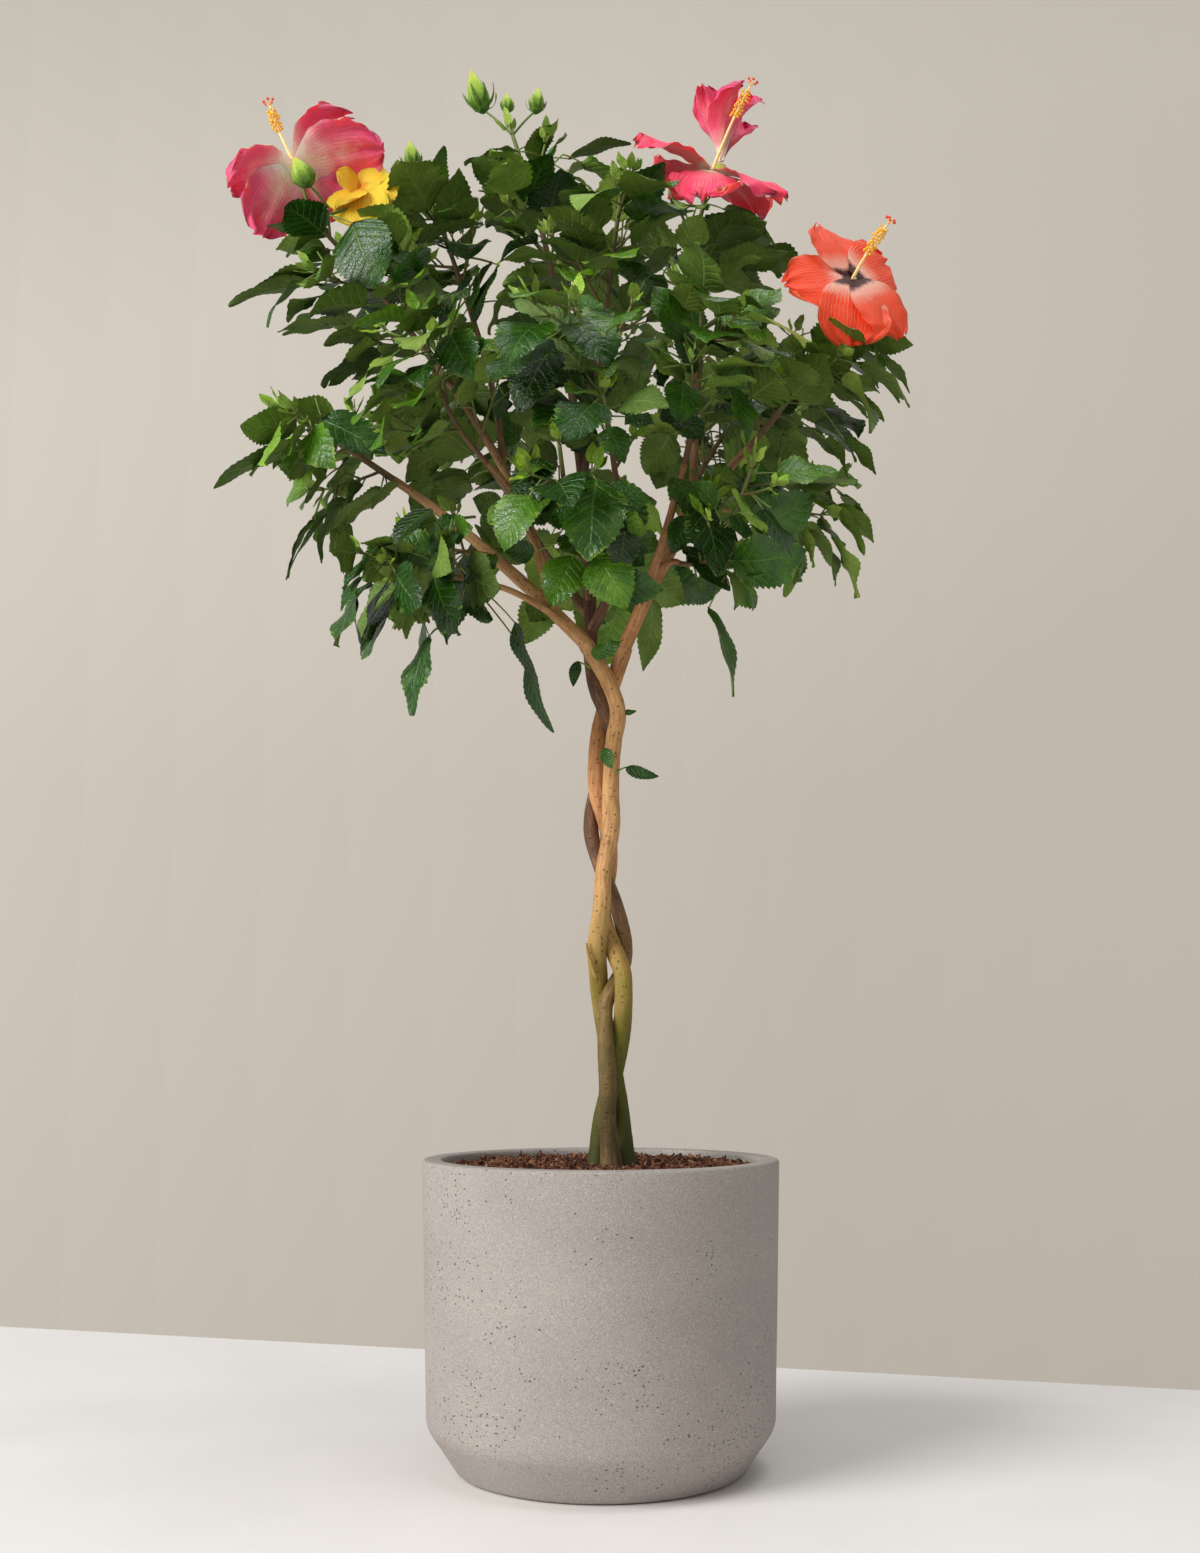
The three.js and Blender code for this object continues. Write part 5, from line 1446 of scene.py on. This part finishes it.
# How each petal turns on its midline towards its tip, how much they ruffle and open, and for uneven
# flowers which way the petals face and where their tips lie
Petals = namedtuple("Petals", "turns ruffle opening facing tips", defaults=(None, None))
PETAL_SHAPES = {
    "rose": Petals((-0.8, 0.3, 0.25, 0.3, -0.2), 2.2, 0.9, (-0.25, 0.7, 0.67), (
        (-332, -62, 1105), (-232, -40, 1173), (-194, -66, 1134), (-242, -20, 1085), (-309, -44, 1058))),
    "yellow": Petals((0.2, -0.2, 0.2, -0.2, 0.1), 0.7, 1.45, (-0.25, -0.9, 0.4), (
        (-198, -50, 1123), (-233, -60, 1109), (-234, -64, 1076), (-211, -64, 1057), (-182, -56, 1088))),
    "coral": Petals((-0.6, 0.1, 0.5, 0.1, 0.1), 1.7, 1.0),
    "pink": Petals((0.9, 1.0, 0.9, 1.0, 0.9), 1.6, 0.8),
    "orange": Petals((0.15, -0.1, 0.15, -0.25, 0.2), 0.75, 0.93, (0.36, -0.86, 0.34), (
        (200, -33, 1076), (164, -66, 1003), (220, -70, 946), (268, -48, 962), (264, -6, 1052))),
}
# Petal colours: rim, body, halo, throat, veins, and how pale the streak down the middle is
PETAL_COLOURS = {
    "rose": ((234, 46, 108), (238, 72, 130), (255, 200, 200), (255, 238, 226), (190, 16, 74), 0.95),
    "yellow": ((255, 210, 60), (255, 206, 54), (255, 200, 60), (236, 160, 40), (255, 190, 44), 0.0),
    "coral": ((246, 46, 90), (246, 54, 96), (240, 120, 116), (248, 214, 190), (206, 40, 64), 0.25),
    "pink": ((230, 40, 104), (240, 88, 134), (255, 206, 196), (255, 230, 206), (190, 16, 78), 0.9),
    "orange": ((255, 66, 22), (255, 72, 30), (255, 190, 172), (58, 0, 5), (255, 168, 120), 0.0),
}
# Where each flower's column points, its length and where its anthers begin
COLUMNS = {"rose": ((-0.37, -0.05, 0.93), 64, 0.52), "coral": ((0.43, -0.12, 0.9), 92, 0.56),
           "orange": ((0.5, -0.62, 0.6), 60, 0.42)}


def petal(batch, flower, k, draw):
    centre, axis, along, across = petal_frame(flower, k)
    shape, length, rise = PETAL_SHAPES[flower.look], flower.length, flower.rises[k]
    if shape.tips:
        reach = vec(shape.tips[k]) - centre
        along, length, axis = unit(reach), size_of(reach), unit(vec(shape.facing))
        rise, centre = math.asin(along @ axis), centre + axis * (0.7 * k)
        across = cross(axis, unit(along - axis * (along @ axis)))
    normal = axis * math.cos(rise) - unit(along - axis * (along @ axis)) * math.sin(rise)
    s, v = np.linspace(PETAL_ROOT, 1, 27)[:, None], np.linspace(-1, 1, 25)[None, :]
    half = np.interp(s, PETAL_PLACES, WIDE_PETAL_HALF if shape.tips else PETAL_HALF)
    half = half * (flower.breadth * shape.opening)
    phase, other = draw() * 6.28, draw() * 6.28
    edge = np.abs(v)
    ruffle = (0.05 * s ** 2 * edge ** 1.6 * np.sin(v * 6 + phase + s * 7)
              + 0.032 * s ** 4 * np.sin(v * 10 + other)
              + 0.016 * s ** 5 * np.sin(v * 19 + phase) + 0.02 * edge ** 4 * s * np.sin(s * 26 + other))
    lift = 0.03 * np.sin(math.pi * s) - 0.1 * s ** 3 + 0.04 * v * s + shape.ruffle * ruffle
    if flower.look == "pink":
        lift = lift + 0.8 * half * edge ** 1.7
    forward = (s * (1 - 0.06 * v ** 2) + 0.02 * s ** 4 * np.sin(v * 9 + phase)
               + 0.01 * s ** 6 * np.sin(v * 23 + other))
    side, up = twisted(across, normal, (shape.turns[k] * s ** 1.2)[..., None])
    spots = centre + along * (forward * length)[..., None] + side * (half * v * length)[..., None]
    spots = spots + up * (lift * length)[..., None]
    raised = (0.3 * (1 - v ** 4) * np.ones_like(s))[..., None] * up
    share = (s - PETAL_ROOT) / (1 - PETAL_ROOT)
    two_sided(batch, spots, raised, share, v, (draw(), 0, 1, 1), (draw(), 0, 0, 1))


def ball(batch, centre, radius, tone):
    turn = turns(7)
    shell(batch, [level_ring(turn, math.sin(a), -math.cos(a)) * radius + centre
                  for a in np.linspace(0.25, math.pi - 0.25, 5)], tone)


def column(stalk, pollen, stigma, flower, draw):
    """The fused stamens: a slender column, anthers on its upper part and five stigma pads at its tip."""
    axis, length, first = COLUMNS[flower.look]
    centre, axis = vec(flower.centre), unit(vec(axis))
    side, other = square_to(axis, vec((0, 1, 0)))
    bend = side * 2.4 + other * 1.6

    def on_column(t):
        return centre + axis * (length * t) + bend * math.sin(t * 2.6)

    def stamen(start, turn, rise, length, radii, sides):
        end = start + unit(side * math.cos(turn) + other * math.sin(turn) + axis * rise) * length
        tube(stalk, [start, mix(start, end, 0.5), end], radii, sides, PLAIN)
        return end

    points = np.array([on_column(t) for t in np.linspace(-0.06, 0.94, 14)])
    tube(stalk, points, np.linspace(1.8, 0.8, 14), 9, PLAIN)
    for k in range(ANTHERS):
        start = on_column(mix(first, 0.86, (k + draw()) / ANTHERS))
        end = stamen(start, k * TURN, 0.3, mix(2.8, 5.2, draw()), [0.24, 0.2, 0.18], 4)
        ball(pollen, end, mix(0.9, 1.35, draw()), (draw(), 0.5, 1, 1))
    for k in range(5):
        end = stamen(points[-1], k * FULL_TURN / 5 + 0.4, 1.0, 6.2, [0.42, 0.34, 0.32], 5)
        ball(stigma, end, 1.45, (draw(), 0.5, 1, 1))


def ribbed(batch, base, tip, profile, depth):
    """A five-ribbed hollow form from a profile of (place along it, radius)."""
    side, other = square_to(unit(tip - base), ASKEW)
    turn = turns(30)
    ring = np.cos(turn)[:, None] * side + np.sin(turn)[:, None] * other
    reach = (1 + depth * np.cos(turn * 5))[:, None]
    tones = np.tile(np.array(PLAIN), (len(profile) * len(turn), 1))
    tones[:, 0] = np.repeat([t for t, _ in profile], len(turn))
    shell(batch, [mix(base, tip, t) + ring * (radius * reach) for t, radius in profile], tones)


def bracts(batch, base, axis, count, length, spread, draw):
    """Narrow pointed leaflets round the foot of a bud or calyx."""
    for k in range(count):
        along = branch_direction(axis, k * FULL_TURN / count + 0.3, spread * mix(0.85, 1.15, draw()))
        face = unit(axis - along * (axis @ along))
        leaf = leaf_shape(base, along, face, length * mix(0.85, 1.1, draw()), length * 0.17, -0.7, 0)
        leaf["base"] = base
        blade(batch, leaf, (8, 2), draw, 0.15)


def make_flowers():
    draw = seeded(FLOWER_SEED)
    stalk, pollen, stigma, green = Batch(), Batch(), Batch(), Batch()
    for flower in FLOWERS:
        batch, look = Batch(), flower.look
        for k in range(PETALS):
            petal(batch, flower, k, draw)
        batch.build("petals_" + look, petal_look("petal_" + look, *PETAL_COLOURS[look]), "foliage")
        if look in COLUMNS:
            column(stalk, pollen, stigma, flower, draw)
        centre, axis = flower_frame(flower)[:2]
        wide = CALYX_WIDTH / 2 * (1 if flower.length > 50 else 0.6)
        foot = centre - axis * CALYX_LENGTH
        profile = [(0, 1.6)] + [(t, wide * share) for t, share in CALYX_PROFILE]
        ribbed(green, foot, centre - axis * 1.5, profile, 0.06)
        bracts(green, foot + axis * 1.5, axis, 7, 15, 0.9, draw)
    for _, base, tip, width, swell in BUDS:
        base, tip = vec(base), vec(tip)
        profile = [(t, width / 2 * swell * share) for t, share in BUD_PROFILE] + [(1, 0.3)]
        ribbed(green, base, tip, profile, 0.1)
        bracts(green, mix(base, tip, 0.04), unit(tip - base), 8, size_of(tip - base) * 0.62, 1.0, draw)
    for batch, name, *speckles in (
            (stalk, "flower_columns", "column_cream", (250, 206, 116), (252, 232, 168), 300, 0.45, 0.0002),
            (pollen, "anthers", "pollen_gold", (240, 158, 34), (255, 214, 60), 1500, 0.8, 0.0004),
            (stigma, "stigma_pads", "stigma_red", (222, 56, 38), (244, 104, 70), 1800, 0.7, 0.0003)):
        batch.build(name, speckled_look(*speckles), "foliage")
    green.build("calyces_and_buds", bud_look(), "foliage")


# ---- camera, stage and light
def make_camera():
    data = bpy.data.cameras.new("camera")
    data.sensor_width, data.lens = SENSOR_WIDTH, LENS_PIXELS * SENSOR_WIDTH / PHOTO_HEIGHT
    camera = add_object("camera", data)
    camera.location = vec(CAMERA_PLACE) * MM
    camera.rotation_euler = (math.pi / 2 + CAMERA_TILT, 0, 0)
    bpy.context.scene.camera = camera


def stage_piece(name, points, faces, material):
    mesh = bpy.data.meshes.new(name)
    mesh.from_pydata(points, [], faces)
    mesh.materials.append(material)
    piece = add_object(name, mesh)
    return piece


def make_stage():
    table = Look("pale_table")
    patch = table.noise(table.here(), 5, 2)
    half, deep = TABLE_SIZE
    cos, sin = math.cos(TABLE_TURN), math.sin(TABLE_TURN)
    corners = [(x * cos - y * sin, x * sin + y * cos + TABLE_BACK)
               for x, y in ((-half, -deep), (half, -deep), (half, 0), (-half, 0))]
    points = [(x, y, z) for z in (-0.0005, -TABLE_THICKNESS) for x, y in corners]
    faces = [(0, 1, 2, 3), (7, 6, 5, 4), (0, 4, 5, 1), (1, 5, 6, 2), (2, 6, 7, 3), (3, 7, 4, 0)]
    top = table.finish(patch.ramp((0.3, 228, 225, 222), (0.7, 234, 231, 228)), 0.6)
    stage_piece("table_top", points, faces, top)
    wall = Look("warm_wall")
    x, _, z = wall.node("SeparateXYZ", {0: wall.here()}, 0, 1, 2)
    # Painted light: the wall's colour is lighter to the left and towards the top, as if lit from the upper
    # left, with a faint mottle.
    painted_light_and_mottle = x.span(-2.6, 2.6) + wall.noise(wall.here(), 0.6, 2).span(0, 1, -0.05, 0.05)
    painted_light_and_mottle = painted_light_and_mottle - z.span(1.2, 3.8, -0.35, 0.5)
    paint = wall.finish(painted_light_and_mottle.ramp((0, 250, 243, 231), (1, 222, 214, 202)), 0.9)
    points = [(DRUM_RADIUS * math.cos(a), DRUM_RADIUS * math.sin(a), z)
              for z in DRUM_HEIGHTS for a in turns(DRUM_SIDES)]
    faces = [(k, (k + 1) % DRUM_SIDES, (k + 1) % DRUM_SIDES + DRUM_SIDES, k + DRUM_SIDES)
             for k in range(DRUM_SIDES)]
    drum = stage_piece("backdrop", points, faces, paint)
    drum.visible_shadow = drum.visible_diffuse = drum.visible_glossy = False


def make_light():
    world = bpy.data.worlds.new("studio")
    world.use_nodes = True
    background = world.node_tree.nodes["Background"].inputs
    background["Color"].default_value = (1.0, 0.98, 0.95, 1)
    background["Strength"].default_value = 0.39
    bpy.context.scene.world = world
    for name, spot, size, power, colour in LAMPS:
        data = bpy.data.lights.new(name, "AREA")
        data.shape, data.size, data.energy, data.color = "DISK", size, power, colour
        lamp = add_object(name, data)
        lamp.location = spot
        lamp.rotation_euler = (LIT_SPOT - Vector(spot)).to_track_quat("-Z", "Y").to_euler()
        lamp.visible_camera = False
    view = bpy.context.scene.view_settings
    view.view_transform = "Standard"
    view.look = "None"


make_camera()
make_stage()
make_light()
make_planter()
make_soil()
bark_looks = {name: bark_look("bark_" + name, *colours) for name, colours in BARKS.items()}
make_stems(bark_looks)
make_boughs(bark_looks)
twig_batch = make_twigs()
make_leaves(twig_batch)
twig_batch.build("twigs_and_petioles", twig_look(), "foliage")
make_flowers()
